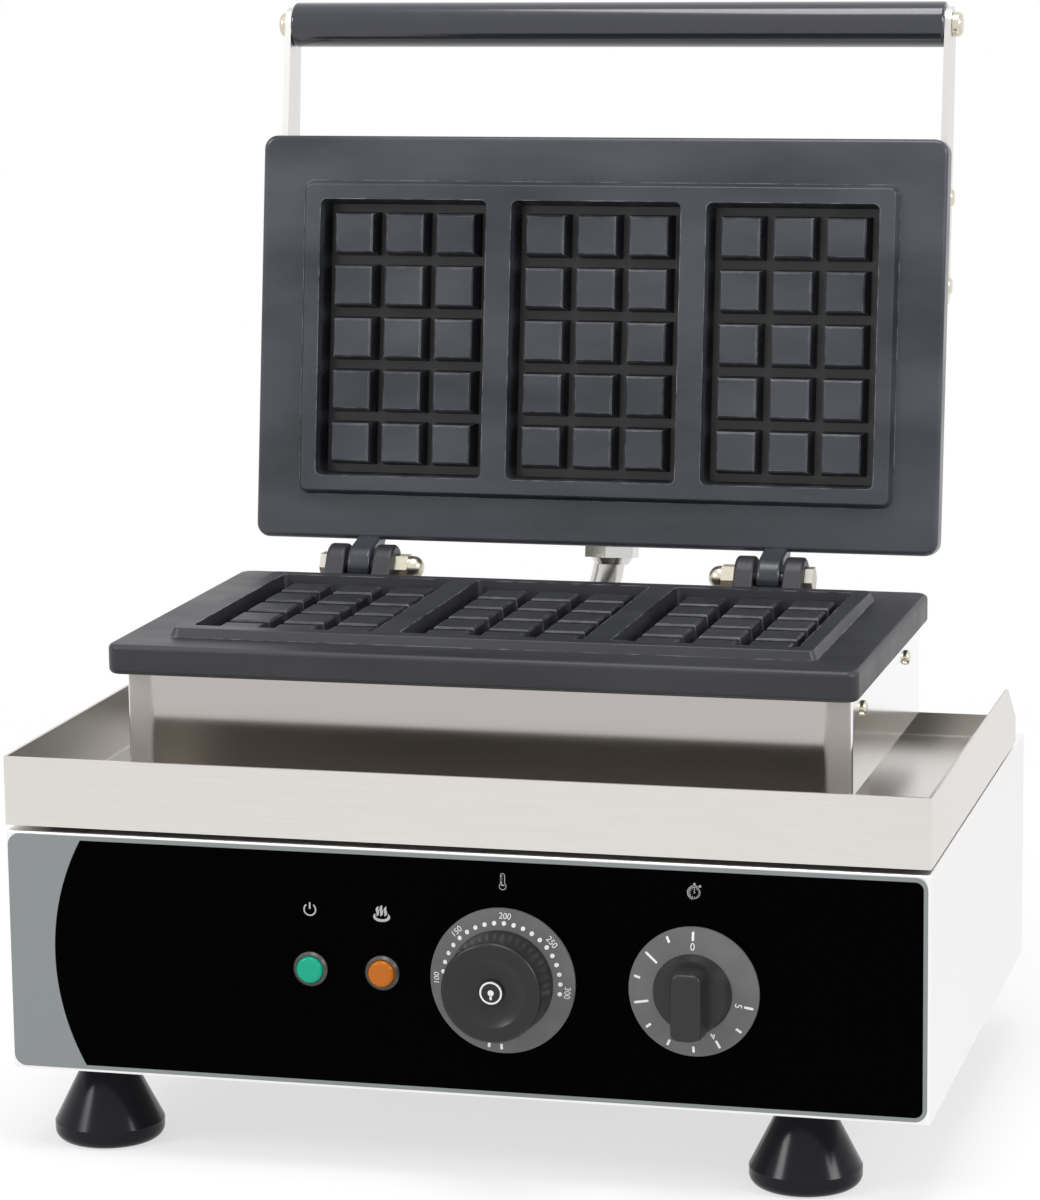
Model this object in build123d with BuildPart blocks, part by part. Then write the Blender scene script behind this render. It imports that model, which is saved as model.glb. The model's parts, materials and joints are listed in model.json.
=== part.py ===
"""Brussels waffle maker: two hinged waffle castings over a drip tray and a control cabinet."""

import math
import os

from build123d import *

os.makedirs("parts", exist_ok=True)

# Sheet and fits
SHEET = 1.2
SEAT = 0.1
HOLE_PLAY = 0.2
RUNNING_FIT = 0.05

# Control cabinet
BODY_W = 340.0
BODY_D = 239.0
BODY_H = 89.5
BODY_BEND_R = 2.0
WIRE_WELL_W = 190.0
WIRE_WELL_D = 90.0
LINER_PLAY = 0.3

# Feet
FOOT_H = 32.0
FOOT_RIM_R = 20.4
FOOT_RIM_H = 7.0
FOOT_RIM_ROUND = 4.2
FOOT_SOLE_R = 16.0
FOOT_TOP_R = 7.8
FOOT_LEFT_INSET = 28.0
FOOT_RIGHT_INSET = 48.5
FOOT_FRONT_INSET = 25.0
FOOT_REAR_INSET = 27.0
FOOT_BORE_R = 2.2
FOOT_RECESS_R = 6.0
FOOT_RECESS_H = 14.0

# Control panel
PANEL_T = 0.6
PANEL_MARGIN = 1.0
PANEL_CORNER_R = 4.5
CONTROL_Z = 44.0
POWER_LAMP_X = -54.2
HEAT_LAMP_X = -27.4
THERMOSTAT_X = 17.4
TIMER_X = 86.7
SHAFT_R = 3.0
BUSH_R = 4.8
BUSH_REACH = 3.0
BUSH_PLAY = 0.6

# Lamps
LAMP_HOLE_R = 5.0
LAMP_BEZEL_R = 6.3
LAMP_BEZEL_H = 1.6
LAMP_LENS_R = 4.9
LAMP_LENS_RISE = 1.4
LAMP_BODY_L = 24.0

# Thermostat knob
KNOB_GAP = 0.8
DIAL_R = 26.5
DIAL_EDGE_T = 1.2
DIAL_CONE_H = 2.2
GRIP_BASE_R = 18.9
GRIP_FRONT_R = 18.2
GRIP_H = 15.1
GRIP_EDGE_R = 1.5
DISH_R = 12.5
DISH_DEPTH = 2.2
CAP_R = 4.5
CAP_T = 1.2
KNOB_BORE_DEPTH = 10.0

# Timer knob
TIMER_DIAL_R = 23.4
TIMER_HUB_R = 14.0
TIMER_HUB_H = 4.0
TIMER_BAR_L = 26.5
TIMER_BAR_W = 12.6
TIMER_BAR_TOP_L = 24.5
TIMER_BAR_TOP_W = 10.8
TIMER_BAR_CORNER_R = 3.0
TIMER_BAR_H = 12.6
TIMER_BAR_LOW = 2.4

# Parts behind the panel
THERMOSTAT_BOX_W = 34.0
THERMOSTAT_BOX_H = 30.0
THERMOSTAT_BOX_D = 22.0
TIMER_BOX_R = 21.0
TIMER_BOX_D = 38.0
TERMINAL_W = 60.0
TERMINAL_D = 24.0
TERMINAL_H = 22.0
TERMINAL_Y = 150.0

# Drip tray
TRAY_GAP = 1.9
TRAY_D = 213.5
TRAY_WALL_H = 25.4
TRAY_REAR_H = 9.6
TRAY_SLOPE_D = 23.0
TRAY_BEND_R = 1.0
TRAY_PAD_R = 8.0
TRAY_PAD_INSET = 22.0
TRAY_PLAY = 0.6
TRAY_LIP_H = 4.0

# Plinth, and the stand that lifts it clear of the tray's floor
PLINTH_W = 271.0
PLINTH_D = 150.2
PLINTH_FRONT = 39.2
PLINTH_H = 36.3
PLINTH_BEND_R = 1.6
STAND_H = 17.2
STAND_FRONT_INSET = 4.8
STAND_REAR_INSET = 19.4
STAND_BAR_INSET = 2.0
STAND_BAR_D = 42.0
STAND_NECK_INSET = 26.0
STAND_FLANGE = 9.0
SIDE_SCREW_DROP = 8.0
SIDE_SCREW_FRONT = 20.4
SIDE_SCREW_PITCH = 95.6
SIDE_SCREW_R = 1.5
SIDE_HEAD_R = 2.8
SCREW_R = 2.0
SCREW_HEAD_R = 3.6
SCREW_HEAD_H = 2.2
HEAD_ROUND = 0.8
SCREW_END = 3.0
RIM_SCREW_BITE = 7.0
RAIL_H = 18.0
RAIL_T = 3.0
RAIL_FOOT = 14.0
RAIL_END_INSET = 6.0

# Waffle castings
PLATE_W = 278.8
PLATE_D = 162.4
PLATE_T = 11.2
PLATE_FRONT = 26.6
PLATE_CORNER_R = 5.5
PLATE_EDGE_R = 2.0
PAD_H = 3.4
PAD_MARGIN = 18.0
PAD_BEVEL = 1.6
PAD_CORNER_R = 4.0
PAD_EDGE_R = 0.7
WELL_CORNER_R = 2.5
PEG = 15.4
CHANNEL = 5.7
PEG_COLUMNS = 3
PEG_ROWS = 5
WELLS = 3
WELL_PITCH = 79.3
WELL_DEPTH = 13.0
PEG_DROP = 2.5
PEG_EDGE = 0.6
DRAFT = 6.0
PAN_FLOOR = 6.0
PAN_PLAY = 2.0
PAN_WALL = 5.0

# Heating behind each casting
HEATER_R = 4.0
HEATER_RUNS = 4
HEATER_PITCH = 27.0
HEATER_RUN_L = 196.0
HEATER_BEND_R = 12.0
HEATER_TAIL = 14.0
HEATER_TAIL_R = 8.0
CLAMP_W = 22.0
CLAMP_L = 120.0
CLAMP_T = 3.0
CLAMP_X = 52.0
CLAMP_SCREW_BITE = 4.0
WOOL_W = 228.0
WOOL_D = 112.0
WOOL_T = 8.0
WOOL_HOLE_R = 6.0
WASHER_R = 9.0
WASHER_T = 1.0
BULB_R = 3.0
BULB_L = 96.0
CAPILLARY_R = 1.2
CAPILLARY_DROP_X = -74.0
CAPILLARY_Z = 66.0
CAPILLARY_BEND_R = 8.0

# Hinge
HINGE_BACK = 10.6
HINGE_RISE = 1.1
HEEL_H = 5.4
HINGE_LEFT_X = -91.6
HINGE_RIGHT_X = 75.2
LUG_R = 9.0
LUG_W = 8.0
KNUCKLE_W = 9.5
LUG_GAP = 1.0
LUG_EDGE_R = 1.4
EYE_ROOT = 2.0
PIN_R = 3.0
BOLT_HEX = 10.0
BOLT_HEAD_H = 3.2
BOLT_TAIL = 7.0
ACORN_HEX_H = 5.5
ACORN_H = 11.2
ACORN_R = 4.7
ACORN_ROUND = 4.3
OPEN_ANGLE = 98.0
CLOSED_GAP = 0.5

# Lid cover
COVER_W = 268.0
COVER_FRONT_INSET = 8.4
COVER_REAR_INSET = 2.0
COVER_H = 28.8
COVER_BEND_R = 3.0
POST_X = 126.0
POST_Y = 66.0
POST_R = 4.0
POST_BITE = 6.0

# Handle
ARM_T = 2.5
ARM_ROOT_W = 20.0
ARM_TIP_W = 14.0
ARM_REACH = 46.6
ARM_RISE = 12.2
ARM_SCREW_FRONT = 21.4
ARM_SCREW_PITCH = 34.7
ARM_ROOT_PAST = 7.0
ARM_CORNER_R = 3.0
GRIP_R = 9.0
GRIP_ROD_R = 3.0
GRIP_END_R = 1.2
GRIP_NUT_R = 4.8
GRIP_NUT_H = 3.6
GRIP_ROD_BITE = 2.7

# Conduit from the cabinet to the lid
CONDUIT_X = 3.4
CONDUIT_R = 6.2
LID_GLAND_RISE = 14.0
GLAND_HEX = 19.6
GLAND_HEX_H = 6.8
FERRULE_H = 2.8
FERRULE_R = 8.4
FERRULE_NECK_R = 6.9
GLAND_THREAD_R = 7.4
GLAND_NUT_H = 3.0
GLAND_INSIDE = 6.0
CABINET_GLAND_X = -100.0
CONDUIT_DROP = 22.0
CONDUIT_SLANT = 20.0
BEND_SHARE = 0.45

# Mains cable gland at the back
MAINS_INSET = 52.0
MAINS_Z = 24.0
MAINS_BORE_R = 4.0
MAINS_THREAD_R = 8.0
MAINS_HEX = 22.0
MAINS_HEX_H = 6.0
MAINS_DOME_R = 9.0
MAINS_DOME_H = 12.0
MAINS_THREAD_L = 12.0
MAINS_NUT_H = 4.0

# Bottom plate
BOTTOM_SLOT_L = 60.0
BOTTOM_SLOT_W = 5.0
BOTTOM_SLOT_PITCH = 12.0
BOTTOM_SLOTS = 7
BOTTOM_SCREW_INSET = 70.0
BOTTOM_LIP = 12.0

# Places that follow from the sizes above
PLATE_REAR = PLATE_FRONT + PLATE_D
HINGE_DEPTH = PLATE_REAR + HINGE_BACK
DIAL_T = DIAL_EDGE_T + DIAL_CONE_H
MAINS_X = BODY_W / 2 - MAINS_INSET
CABINET_GLAND_Y = (TRAY_D + BODY_D) / 2
TRAY_BASE = BODY_H + TRAY_GAP
TRAY_FLOOR = TRAY_BASE + SHEET
PLINTH_BASE = BODY_H + STAND_H
PLINTH_TOP = PLINTH_BASE + PLINTH_H
RIM_TOP = PLINTH_TOP + SEAT + PLATE_T
HINGE_HEIGHT = RIM_TOP + HINGE_RISE
LID_RIM = 2 * PAD_H + CLOSED_GAP - HINGE_RISE
LID_BACK = LID_RIM + PLATE_T
LID_FRONT = -(HINGE_BACK + PLATE_D)
ARM_LINE = LID_BACK + ARM_RISE
GRIP_LINE = LID_FRONT - ARM_REACH
COVER_FRONT = LID_FRONT + COVER_FRONT_INSET
COVER_REAR = -(HINGE_BACK + COVER_REAR_INSET)
COVER_TOP = LID_BACK + SEAT + COVER_H
WELL_W = PEG_COLUMNS * PEG + (PEG_COLUMNS + 1) * CHANNEL
WELL_D = PEG_ROWS * PEG + (PEG_ROWS + 1) * CHANNEL
PAN_DROP = WELL_DEPTH + PAN_FLOOR - PAD_H - PLATE_T
PAN_W = (WELLS - 1) * WELL_PITCH + WELL_W + PAN_WALL
PAN_D = WELL_D + PAN_WALL
PAD_TAPER = math.degrees(math.atan2(PAD_BEVEL, PAD_H))
PLATE_MID = PLATE_FRONT + PLATE_D / 2
RAIL_TOP = PLINTH_TOP - SHEET - SEAT
HEEL_MID = HINGE_RISE + PLATE_EDGE_R + HEEL_H / 2
CLAMP_LEVEL = SEAT + 2 * HEATER_R + SEAT
WOOL_LEVEL = CLAMP_LEVEL + CLAMP_T + SEAT
POST_SPOTS = [
    (sx * POST_X, LID_FRONT + PLATE_D / 2 + sy * POST_Y) for sx in (-1, 1) for sy in (-1, 1)
]
HINGE_HALF = KNUCKLE_W / 2 + LUG_GAP + LUG_W


def opened(y, z):
    """Depth and height, from the hinge pin, of a point of the closed lid once the lid is open."""
    turn = math.radians(OPEN_ANGLE)
    return y * math.cos(turn) + z * math.sin(turn), z * math.cos(turn) - y * math.sin(turn)


def face_shift():
    """Depth of the cabinet's front face, with the open machine centred on the origin."""
    front = PANEL_T + KNOB_GAP + DIAL_T + GRIP_H
    grip = opened(GRIP_LINE, ARM_LINE)[0] + GRIP_R
    cover = opened(COVER_FRONT + COVER_BEND_R, COVER_TOP - COVER_BEND_R)[0] + COVER_BEND_R
    rear = HINGE_DEPTH + max(grip, cover)
    return (front - rear) / 2


FACE_Y = face_shift()
HINGE_Y = FACE_Y + HINGE_DEPTH
HINGE_Z = FOOT_H + HINGE_HEIGHT
BASE = Plane(origin=(0, FACE_Y, FOOT_H))
FRONT = Plane(origin=(0, FACE_Y, FOOT_H), x_dir=(1, 0, 0), z_dir=(0, -1, 0))
REAR = Plane(origin=(0, FACE_Y + BODY_D, FOOT_H), x_dir=(-1, 0, 0), z_dir=(0, 1, 0))
LEAN = math.radians(OPEN_ANGLE)
LID = Plane(
    origin=(0, HINGE_Y, HINGE_Z),
    x_dir=(1, 0, 0),
    z_dir=(0, math.sin(LEAN), math.cos(LEAN)),
)


LOWER_FACE = Plane(origin=(0, FACE_Y + PLATE_MID, FOOT_H + RIM_TOP))
UPPER_FACE = Plane(
    origin=LID.from_local_coords((0, LID_FRONT + PLATE_D / 2, LID_RIM)),
    x_dir=(-1, 0, 0),
    z_dir=-LID.z_dir,
)
PAN_BACK = PLATE_T + PAN_DROP
LOWER_BACK = Plane(
    origin=LOWER_FACE.from_local_coords((0, 0, -PAN_BACK)), x_dir=(1, 0, 0), z_dir=(0, 0, -1)
)
UPPER_BACK = Plane(
    origin=UPPER_FACE.from_local_coords((0, 0, -PAN_BACK)), x_dir=(-1, 0, 0), z_dir=LID.z_dir
)


def base_side(x):
    """Plane across the cabinet at x, drawn as depth from its face and height from its floor."""
    return Plane(origin=(x, FACE_Y, FOOT_H), x_dir=(0, 1, 0), z_dir=(1, 0, 0))


def hinge_side(x):
    """Plane across the machine at x, centred on the hinge pin."""
    return Plane(origin=(x, HINGE_Y, HINGE_Z), x_dir=(0, 1, 0), z_dir=(1, 0, 0))


def lid_side(x):
    """Plane across the lid at x, centred on the hinge pin and turned with the lid."""
    return Plane(origin=(x, HINGE_Y, HINGE_Z), x_dir=LID.y_dir, z_dir=(1, 0, 0))


def save(piece, name):
    """Label a finished piece and write it."""
    piece.part.label = name
    export_step(piece.part, f"parts/{name}.step")


BOTTOM_SCREW_X = BODY_W / 2 - BOTTOM_SCREW_INSET
BOTTOM_SCREWS = [(x, BOTTOM_LIP / 2 + SHEET) for x in (-BOTTOM_SCREW_X, 0, BOTTOM_SCREW_X)]
PLINTH_MID = PLINTH_FRONT + PLINTH_D / 2
STAND_FRONT = PLINTH_FRONT + STAND_FRONT_INSET
STAND_D = PLINTH_D - STAND_FRONT_INSET - STAND_REAR_INSET
STAND_MID = STAND_FRONT + STAND_D / 2
STAND_BAR_W = PLINTH_W - 2 * STAND_BAR_INSET
STAND_BAR_MID = STAND_FRONT + STAND_BAR_D / 2
STAND_NECK_W = PLINTH_W - 2 * STAND_NECK_INSET
STAND_NECK_MID = (STAND_MID + STAND_FRONT + STAND_D) / 2
FLANGE_LINE = SHEET + STAND_FLANGE / 2
STAND_SCREWS = [(side * (STAND_BAR_W / 2 - FLANGE_LINE), STAND_BAR_MID) for side in (-1, 1)]
STAND_SCREWS += [(side * (STAND_NECK_W / 2 - FLANGE_LINE), STAND_NECK_MID) for side in (-1, 1)]


# Base housing: folded stainless cabinet, open below
with BuildPart() as base_housing:
    with BuildSketch(BASE):
        with Locations((0, BODY_D / 2)):
            RectangleRounded(BODY_W, BODY_D, BODY_BEND_R)
    extrude(amount=BODY_H)
    fillet(base_housing.faces().sort_by(Axis.Z)[-1].edges(), BODY_BEND_R / 2)
    with BuildSketch(BASE):
        with Locations((0, BODY_D / 2)):
            Rectangle(BODY_W - 2 * SHEET, BODY_D - 2 * SHEET)
    extrude(amount=BODY_H - SHEET, mode=Mode.SUBTRACT)
    with BuildSketch(BASE.offset(BODY_H)):
        with Locations((0, STAND_MID)):
            Rectangle(WIRE_WELL_W, WIRE_WELL_D)
        with Locations((CABINET_GLAND_X, CABINET_GLAND_Y)):
            Circle(GLAND_THREAD_R + HOLE_PLAY)
    extrude(amount=-SHEET, mode=Mode.SUBTRACT)
    with BuildSketch(FRONT):
        with Locations((POWER_LAMP_X, CONTROL_Z), (HEAT_LAMP_X, CONTROL_Z)):
            Circle(LAMP_HOLE_R + HOLE_PLAY)
        with Locations((THERMOSTAT_X, CONTROL_Z), (TIMER_X, CONTROL_Z)):
            Circle(BUSH_R + HOLE_PLAY)
    extrude(amount=-SHEET, mode=Mode.SUBTRACT)
    with BuildSketch(REAR):
        with Locations((-MAINS_X, MAINS_Z)):
            Circle(MAINS_THREAD_R + HOLE_PLAY)
        with Locations(*BOTTOM_SCREWS):
            Circle(SCREW_R + HOLE_PLAY)
    extrude(amount=-SHEET, mode=Mode.SUBTRACT)
    with BuildSketch(BASE.offset(BODY_H)):
        with Locations(*STAND_SCREWS):
            Circle(SCREW_R + HOLE_PLAY)
    extrude(amount=-SHEET, mode=Mode.SUBTRACT)
save(base_housing, "base_housing")


def foot_places():
    """The four feet as name, x and depth from the face."""
    sides = {"left": FOOT_LEFT_INSET - BODY_W / 2, "right": BODY_W / 2 - FOOT_RIGHT_INSET}
    rows = {"front": FOOT_FRONT_INSET, "rear": BODY_D - FOOT_REAR_INSET}
    return [(f"{row}_{side}", x, y) for row, y in rows.items() for side, x in sides.items()]


FOOT_SPOTS = [(x, y) for _, x, y in foot_places()]


# Bottom cover: sheet pan with an upturned lip, cooling slots and the foot holes
with BuildPart() as bottom_cover:
    with BuildSketch(BASE):
        with Locations((0, BODY_D / 2)):
            Rectangle(BODY_W - 2 * (SHEET + LINER_PLAY), BODY_D - 2 * (SHEET + LINER_PLAY))
    extrude(amount=BOTTOM_LIP)
    with BuildSketch(BASE.offset(SHEET)):
        with Locations((0, BODY_D / 2)):
            Rectangle(
                BODY_W - 2 * (2 * SHEET + LINER_PLAY), BODY_D - 2 * (2 * SHEET + LINER_PLAY)
            )
    extrude(amount=BOTTOM_LIP, mode=Mode.SUBTRACT)
    with BuildSketch(BASE):
        with Locations((0, BODY_D / 2)):
            with GridLocations(BOTTOM_SLOT_PITCH, 0, BOTTOM_SLOTS, 1):
                SlotOverall(BOTTOM_SLOT_L, BOTTOM_SLOT_W, rotation=90)
        with Locations(*FOOT_SPOTS):
            Circle(SCREW_R + HOLE_PLAY)
    extrude(amount=SHEET, mode=Mode.SUBTRACT)
    with BuildSketch(REAR):
        with Locations(*BOTTOM_SCREWS):
            Circle(SCREW_R + HOLE_PLAY)
    extrude(amount=-3 * SHEET, mode=Mode.SUBTRACT)
save(bottom_cover, "bottom_cover")


def cap_screw(shank_l, shank_r=SCREW_R, head_r=SCREW_HEAD_R):
    """Dome-headed screw: head above the XY plane, shank below it."""
    head_h = SCREW_HEAD_H * head_r / SCREW_HEAD_R
    with BuildPart() as screw:
        with BuildSketch():
            Circle(head_r)
        extrude(amount=head_h)
        fillet(screw.faces().sort_by(Axis.Z)[-1].edges(), head_h * HEAD_ROUND)
        with BuildSketch():
            Circle(shank_r)
        extrude(amount=-shank_l)
    return screw.part


def place(shape, planes, name):
    """Put one copy of a turned shape on each plane and write them as one node."""
    with BuildPart() as group:
        for plane in planes:
            add(plane.location * shape)
    save(group, name)


# Feet: turned rubber cones, each on one screw up through the bottom cover
def foot(x, y):
    """One foot, turned about its own screw."""
    with BuildPart() as cone:
        with BuildSketch(Plane.XZ) as outline:
            with BuildLine():
                Line((FOOT_BORE_R + HOLE_PLAY, FOOT_H - SEAT), (FOOT_TOP_R, FOOT_H - SEAT))
                Line((FOOT_TOP_R, FOOT_H - SEAT), (FOOT_RIM_R, FOOT_RIM_H))
                Line((FOOT_RIM_R, FOOT_RIM_H), (FOOT_RIM_R, FOOT_RIM_ROUND))
                TangentArc((FOOT_RIM_R, FOOT_RIM_ROUND), (FOOT_SOLE_R, 0), tangent=(0, -1))
                Polyline(
                    (FOOT_SOLE_R, 0),
                    (FOOT_RECESS_R, 0),
                    (FOOT_RECESS_R, FOOT_RECESS_H),
                    (FOOT_BORE_R + HOLE_PLAY, FOOT_RECESS_H),
                    (FOOT_BORE_R + HOLE_PLAY, FOOT_H - SEAT),
                )
            make_face()
        revolve(outline.sketch, axis=Axis.Z)
    with BuildPart() as placed:
        add(Location((x, FACE_Y + y, 0)) * cone.part)
    return placed


for foot_name, foot_x, foot_y in foot_places():
    save(foot(foot_x, foot_y), f"foot_{foot_name}")

place(
    cap_screw(FOOT_H - FOOT_RECESS_H + 2 * SHEET),
    [
        Plane(origin=(x, FACE_Y + y, FOOT_RECESS_H - SEAT / 2), x_dir=(1, 0, 0), z_dir=(0, 0, -1))
        for x, y in FOOT_SPOTS
    ],
    "foot_screws",
)


# Front overlay: one rigid film over the whole cabinet face
with BuildPart() as front_overlay:
    with BuildSketch(FRONT.offset(SEAT / 2)):
        with Locations((0, BODY_H / 2)):
            RectangleRounded(
                BODY_W - 2 * PANEL_MARGIN, BODY_H - 2 * PANEL_MARGIN, PANEL_CORNER_R
            )
        with Locations((POWER_LAMP_X, CONTROL_Z), (HEAT_LAMP_X, CONTROL_Z)):
            Circle(LAMP_HOLE_R + HOLE_PLAY, mode=Mode.SUBTRACT)
        with Locations((THERMOSTAT_X, CONTROL_Z), (TIMER_X, CONTROL_Z)):
            Circle(BUSH_R + HOLE_PLAY, mode=Mode.SUBTRACT)
    extrude(amount=PANEL_T - SEAT / 2)
save(front_overlay, "front_overlay")


# Lamps: a domed lens in a turned bezel, on a body clipped through the panel
def lamp(x, name):
    """Write the three pieces of one lamp."""
    spot = FRONT.offset(PANEL_T + SEAT)
    with BuildPart() as bezel:
        with BuildSketch(spot):
            with Locations((x, CONTROL_Z)):
                Circle(LAMP_BEZEL_R)
                Circle(LAMP_LENS_R + HOLE_PLAY, mode=Mode.SUBTRACT)
        extrude(amount=LAMP_BEZEL_H)
        chamfer(bezel.faces().sort_by(Axis.Y)[0].edges().sort_by(SortBy.RADIUS)[-1], LAMP_BEZEL_H / 2)
    save(bezel, f"{name}_lamp_bezel")
    with BuildPart() as lens:
        with BuildSketch(spot):
            with Locations((x, CONTROL_Z)):
                Circle(LAMP_LENS_R)
        extrude(amount=LAMP_BEZEL_H + LAMP_LENS_RISE)
        fillet(lens.faces().sort_by(Axis.Y)[0].edges(), LAMP_LENS_RISE)
    save(lens, f"{name}_lamp_lens")
    with BuildPart() as holder:
        with BuildSketch(FRONT.offset(PANEL_T)):
            with Locations((x, CONTROL_Z)):
                Circle(LAMP_HOLE_R)
        extrude(amount=-LAMP_BODY_L)
        with BuildSketch(FRONT.offset(-SHEET - SEAT)):
            with Locations((x, CONTROL_Z)):
                RegularPolygon(LAMP_BEZEL_R, 6, major_radius=False)
        extrude(amount=-2 * SHEET)
    save(holder, f"{name}_lamp_body")


lamp(POWER_LAMP_X, "power")
lamp(HEAT_LAMP_X, "heat")


# Thermostat: capillary type, with its knob and dial on the front
KNOB_BACK = FRONT.offset(PANEL_T + KNOB_GAP)
KNOB_FRONT = DIAL_T + GRIP_H


def knob_section(x):
    """Plane through a knob's axis, drawn as radius and height above the knob's back."""
    return Plane(origin=(x, KNOB_BACK.origin.Y, FOOT_H + CONTROL_Z), x_dir=(1, 0, 0), z_dir=(0, 0, -1))


def knob_axis(x):
    """Axis of the control at x."""
    return Axis((x, KNOB_BACK.origin.Y, FOOT_H + CONTROL_Z), (0, -1, 0))


def knob_bore(x):
    """Blind bore for a shaft, wider at the back to clear the bush."""
    with BuildPart() as bore:
        with BuildSketch(KNOB_BACK):
            with Locations((x, CONTROL_Z)):
                Circle(SHAFT_R + RUNNING_FIT)
        extrude(amount=KNOB_BORE_DEPTH)
        with BuildSketch(KNOB_BACK):
            with Locations((x, CONTROL_Z)):
                Circle(BUSH_R + BUSH_PLAY)
        extrude(amount=BUSH_REACH)
    return bore.part


with BuildPart() as thermostat_knob:
    with BuildSketch(knob_section(THERMOSTAT_X)):
        with BuildLine():
            Polyline(
                (0, 0),
                (DIAL_R, 0),
                (DIAL_R, DIAL_EDGE_T),
                (GRIP_BASE_R, DIAL_T),
                (GRIP_FRONT_R, KNOB_FRONT - GRIP_EDGE_R),
            )
            TangentArc(
                (GRIP_FRONT_R, KNOB_FRONT - GRIP_EDGE_R),
                (GRIP_FRONT_R - GRIP_EDGE_R, KNOB_FRONT),
                tangent=(0, 1),
            )
            Line((GRIP_FRONT_R - GRIP_EDGE_R, KNOB_FRONT), (DISH_R, KNOB_FRONT))
            TangentArc(
                (CAP_R + HOLE_PLAY, KNOB_FRONT - DISH_DEPTH), (DISH_R, KNOB_FRONT), tangent=(1, 0)
            )
            Polyline(
                (CAP_R + HOLE_PLAY, KNOB_FRONT - DISH_DEPTH), (0, KNOB_FRONT - DISH_DEPTH), (0, 0)
            )
        make_face()
    revolve(axis=knob_axis(THERMOSTAT_X))
    add(knob_bore(THERMOSTAT_X), mode=Mode.SUBTRACT)
save(thermostat_knob, "thermostat_knob")

with BuildPart() as thermostat_cap:
    with BuildSketch(KNOB_BACK.offset(KNOB_FRONT - DISH_DEPTH + SEAT)):
        with Locations((THERMOSTAT_X, CONTROL_Z)):
            Circle(CAP_R)
    extrude(amount=CAP_T)
    chamfer(thermostat_cap.faces().sort_by(Axis.Y)[0].edges(), CAP_T / 4)
save(thermostat_cap, "thermostat_cap")


def shaft(x, depth):
    """Control shaft from inside the cabinet into its knob."""
    with BuildPart() as rod:
        with BuildSketch(KNOB_BACK.offset(KNOB_BORE_DEPTH - SEAT)):
            with Locations((x, CONTROL_Z)):
                Circle(SHAFT_R)
        extrude(amount=-depth)
    return rod


SHAFT_L = KNOB_BORE_DEPTH + KNOB_GAP + PANEL_T + SHEET + BUSH_REACH
BUSH_FRONT = PANEL_T + KNOB_GAP + BUSH_REACH - 2 * SEAT
save(shaft(THERMOSTAT_X, SHAFT_L), "thermostat_shaft")


def bush(x, radius, length):
    """Round bar or bore on a control's axis, from the bush's front back into the cabinet."""
    with BuildPart() as bar:
        with BuildSketch(FRONT.offset(BUSH_FRONT)):
            with Locations((x, CONTROL_Z)):
                Circle(radius)
        extrude(amount=-length)
    return bar.part


with BuildPart() as thermostat_body:
    with BuildSketch(FRONT.offset(-SHEET - SEAT)):
        with Locations((THERMOSTAT_X, CONTROL_Z)):
            Rectangle(THERMOSTAT_BOX_W, THERMOSTAT_BOX_H)
    extrude(amount=-THERMOSTAT_BOX_D)
    add(bush(THERMOSTAT_X, BUSH_R, BUSH_FRONT + SHEET + SEAT))
    add(bush(THERMOSTAT_X, SHAFT_R + RUNNING_FIT, SHAFT_L), mode=Mode.SUBTRACT)
save(thermostat_body, "thermostat_body")


# Timer: clockwork behind the panel, with a bar-grip knob
TIMER_BAR_Z = CONTROL_Z - TIMER_BAR_LOW
with BuildPart() as timer_knob:
    with BuildSketch(knob_section(TIMER_X)):
        with BuildLine():
            Polyline(
                (0, 0),
                (TIMER_DIAL_R, 0),
                (TIMER_DIAL_R, DIAL_EDGE_T),
                (TIMER_HUB_R, DIAL_T),
                (TIMER_HUB_R - DIAL_EDGE_T, DIAL_T + TIMER_HUB_H),
                (0, DIAL_T + TIMER_HUB_H),
                close=True,
            )
        make_face()
    revolve(axis=knob_axis(TIMER_X))
    with BuildSketch(KNOB_BACK.offset(DIAL_T)):
        with Locations((TIMER_X, TIMER_BAR_Z)):
            RectangleRounded(TIMER_BAR_W, TIMER_BAR_L, TIMER_BAR_CORNER_R)
    with BuildSketch(KNOB_BACK.offset(DIAL_T + TIMER_BAR_H)):
        with Locations((TIMER_X, TIMER_BAR_Z)):
            RectangleRounded(TIMER_BAR_TOP_W, TIMER_BAR_TOP_L, TIMER_BAR_CORNER_R)
    loft()
    fillet(timer_knob.faces().sort_by(Axis.Y)[0].edges(), GRIP_EDGE_R)
    add(knob_bore(TIMER_X), mode=Mode.SUBTRACT)
save(timer_knob, "timer_knob")
save(shaft(TIMER_X, SHAFT_L), "timer_shaft")

with BuildPart() as timer_body:
    with BuildSketch(FRONT.offset(-SHEET - SEAT)):
        with Locations((TIMER_X, CONTROL_Z)):
            Circle(TIMER_BOX_R)
    extrude(amount=-TIMER_BOX_D)
    add(bush(TIMER_X, BUSH_R, BUSH_FRONT + SHEET + SEAT))
    add(bush(TIMER_X, SHAFT_R + RUNNING_FIT, SHAFT_L), mode=Mode.SUBTRACT)
save(timer_body, "timer_body")


# Terminal block: on the bottom cover, where the mains lead is joined to the wiring
with BuildPart() as terminal_block:
    with BuildSketch(BASE.offset(SHEET + SEAT)):
        with Locations((MAINS_X, TERMINAL_Y)):
            Rectangle(TERMINAL_W, TERMINAL_D)
    extrude(amount=TERMINAL_H)
    with BuildSketch(BASE.offset(SHEET + SEAT + TERMINAL_H)):
        with Locations((MAINS_X, TERMINAL_Y)):
            with GridLocations(TERMINAL_W / 4, 0, 4, 1):
                Circle(2 * SCREW_R)
    extrude(amount=-TERMINAL_H / 3, mode=Mode.SUBTRACT)
save(terminal_block, "terminal_block")


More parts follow.
